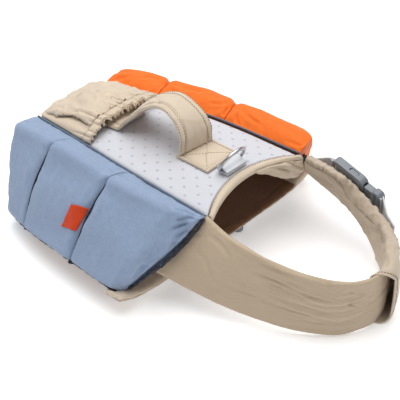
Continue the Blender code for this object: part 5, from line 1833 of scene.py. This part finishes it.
def seamLine(surface, edge, inset, start, end):
    # a line on a surface's grid, a distance in from one of its edges, with the normals under it
    top, normals = surface
    if edge in ("first", "last"):
        top, normals = top.transpose(1, 0, 2), normals.transpose(1, 0, 2)
    if edge in ("right", "last"):
        top, normals = top[:, ::-1], normals[:, ::-1]
    across = steps(top)[1]
    line = np.array([sampled(row, run, inset) for row, run in zip(top, across)])
    lean = np.array([sampled(row, run, inset) for row, run in zip(normals, across)])
    low, high = int(start * (len(line) - 1)), int(end * (len(line) - 1)) + 1
    return line[low:high], unit(lean[low:high])


def makeStitches(name, lines, material, form=threadForm):
    points, quads = [], []
    lengths = np.array((-0.5, -0.36, 0, 0.36, 0.5))
    radii = np.array((0.35, 1, 1.05, 1, 0.35))
    for line, lean in lines:
        run = runOf(line)
        for place in np.arange(form["pitch"] * 0.6, run[-1] - form["pitch"] * 0.4, form["pitch"]):
            spread = place + lengths * form["length"]
            middle = sampled(line, run, spread)
            up = unit(sampled(lean, run, place))
            ahead = unit(middle[-1] - middle[0])
            side = unit(np.cross(up, ahead))
            arch = form["lift"] - form["dip"] * (2 * lengths) ** 2
            first = len(points)
            grid = rope(middle + up * arch[:, None], side, up, 6, size=form["radius"] * radii)
            points += grid.reshape(-1, 3).tolist()
            for n in range(first, first + 24, 6):
                quads += [(n + k, n + (k + 1) % 6, n + 6 + (k + 1) % 6, n + 6 + k) for k in range(6)]
            quads.append(tuple(first + k for k in reversed(range(6))))
            quads.append(tuple(first + 24 + k for k in range(6)))
    uvs = [(0.0004 * k, 0.0003 * (k % 2)) for quad in quads for k in range(len(quad))]
    declare(meshObject(name, points, quads, uvs, material), [])


def seamLines(surface, edges, insets, start, end):
    return [seamLine(surface, edge, inset, start, end) for edge in edges for inset in insets]


# the threads' colours carry painted shade of the stitch grooves
makeStitches("collarStitches", seamLines(faces["collar"], ["first"], [collarForm["stitch"]], 0.03, 0.97),
             "shadedSeamThread")
makeStitches("handleStitches", seamLines(faces["handle"], ["left", "right"], [handleForm["stitch"], 1.6],
                                         0.1, 0.95), "shadedSeamThread")
makeStitches("patchStitches", seamLines(faces["patch"], ["left", "right", "first", "last"],
                                        [patchForm["stitch"]], 0.1, 0.9), "shadedTanThread")
patchTop, patchNormals = faces["patch"]
count = min(patchTop.shape[:2]) - 12
diagonals = []
for flip in (1, -1):
    down, wide = (np.linspace(7, size - 8, count).astype(int) for size in patchTop.shape[:2])
    diagonals.append((patchTop[down, wide[::flip]], patchNormals[down, wide[::flip]]))
makeStitches("patchCross", diagonals, "shadedTanThread")
hem, hemSeams = faces["bellyHem"], bellyForm["hemSeams"]
makeStitches("hemStitches", seamLines(hem, ["first"], hemSeams[:1], 0.02, 0.98)
             + seamLines(hem, ["last"], hemSeams, 0.02, 0.98), "shadedTanThread")
bellyEnds = faces["belly"][0][[0, -1], :, 0].mean(axis=1)
makeStitches("bellyStitches", seamLines(faces["belly"], ["last" if bellyEnds[1] > bellyEnds[0] else "first"],
                                        bellyForm["seams"], 0.03, 0.97), "rustThread")
makeStitches("bandStitches", seamLines(faces["band"], ["first", "last"], [1.2], 0.03, 0.97), "shadedTanThread")


def tubeLine(surface, label, start, end):
    grid, normals, labels = surface
    column = int(np.argmin(np.abs(labels - label)))
    low, high = int(start * (len(grid) - 1)), int(end * (len(grid) - 1)) + 1
    return grid[low:high, column], normals[low:high, column]


def tubeRing(surface, inset, low, high):
    grid, normals, labels = surface
    down = steps(grid)[0]
    columns = np.flatnonzero((low <= labels) & (labels <= high))
    line, lean = (np.array([sampled(part[:, k], down[:, k], down[-1, k] - inset) for k in columns])
                  for part in (grid, normals))
    return line, unit(lean)


makeStitches("sleeveStitches", [tubeLine(faces["sleeve"], 2 + neckForm["sleeveStitch"] / 52, 0.02, 0.97),
                                tubeRing(faces["sleeve"], neckForm["mouthStitch"], 0.02, 2.95)],
             "shadedSeamThread", boldForm)
print("stitches are made")
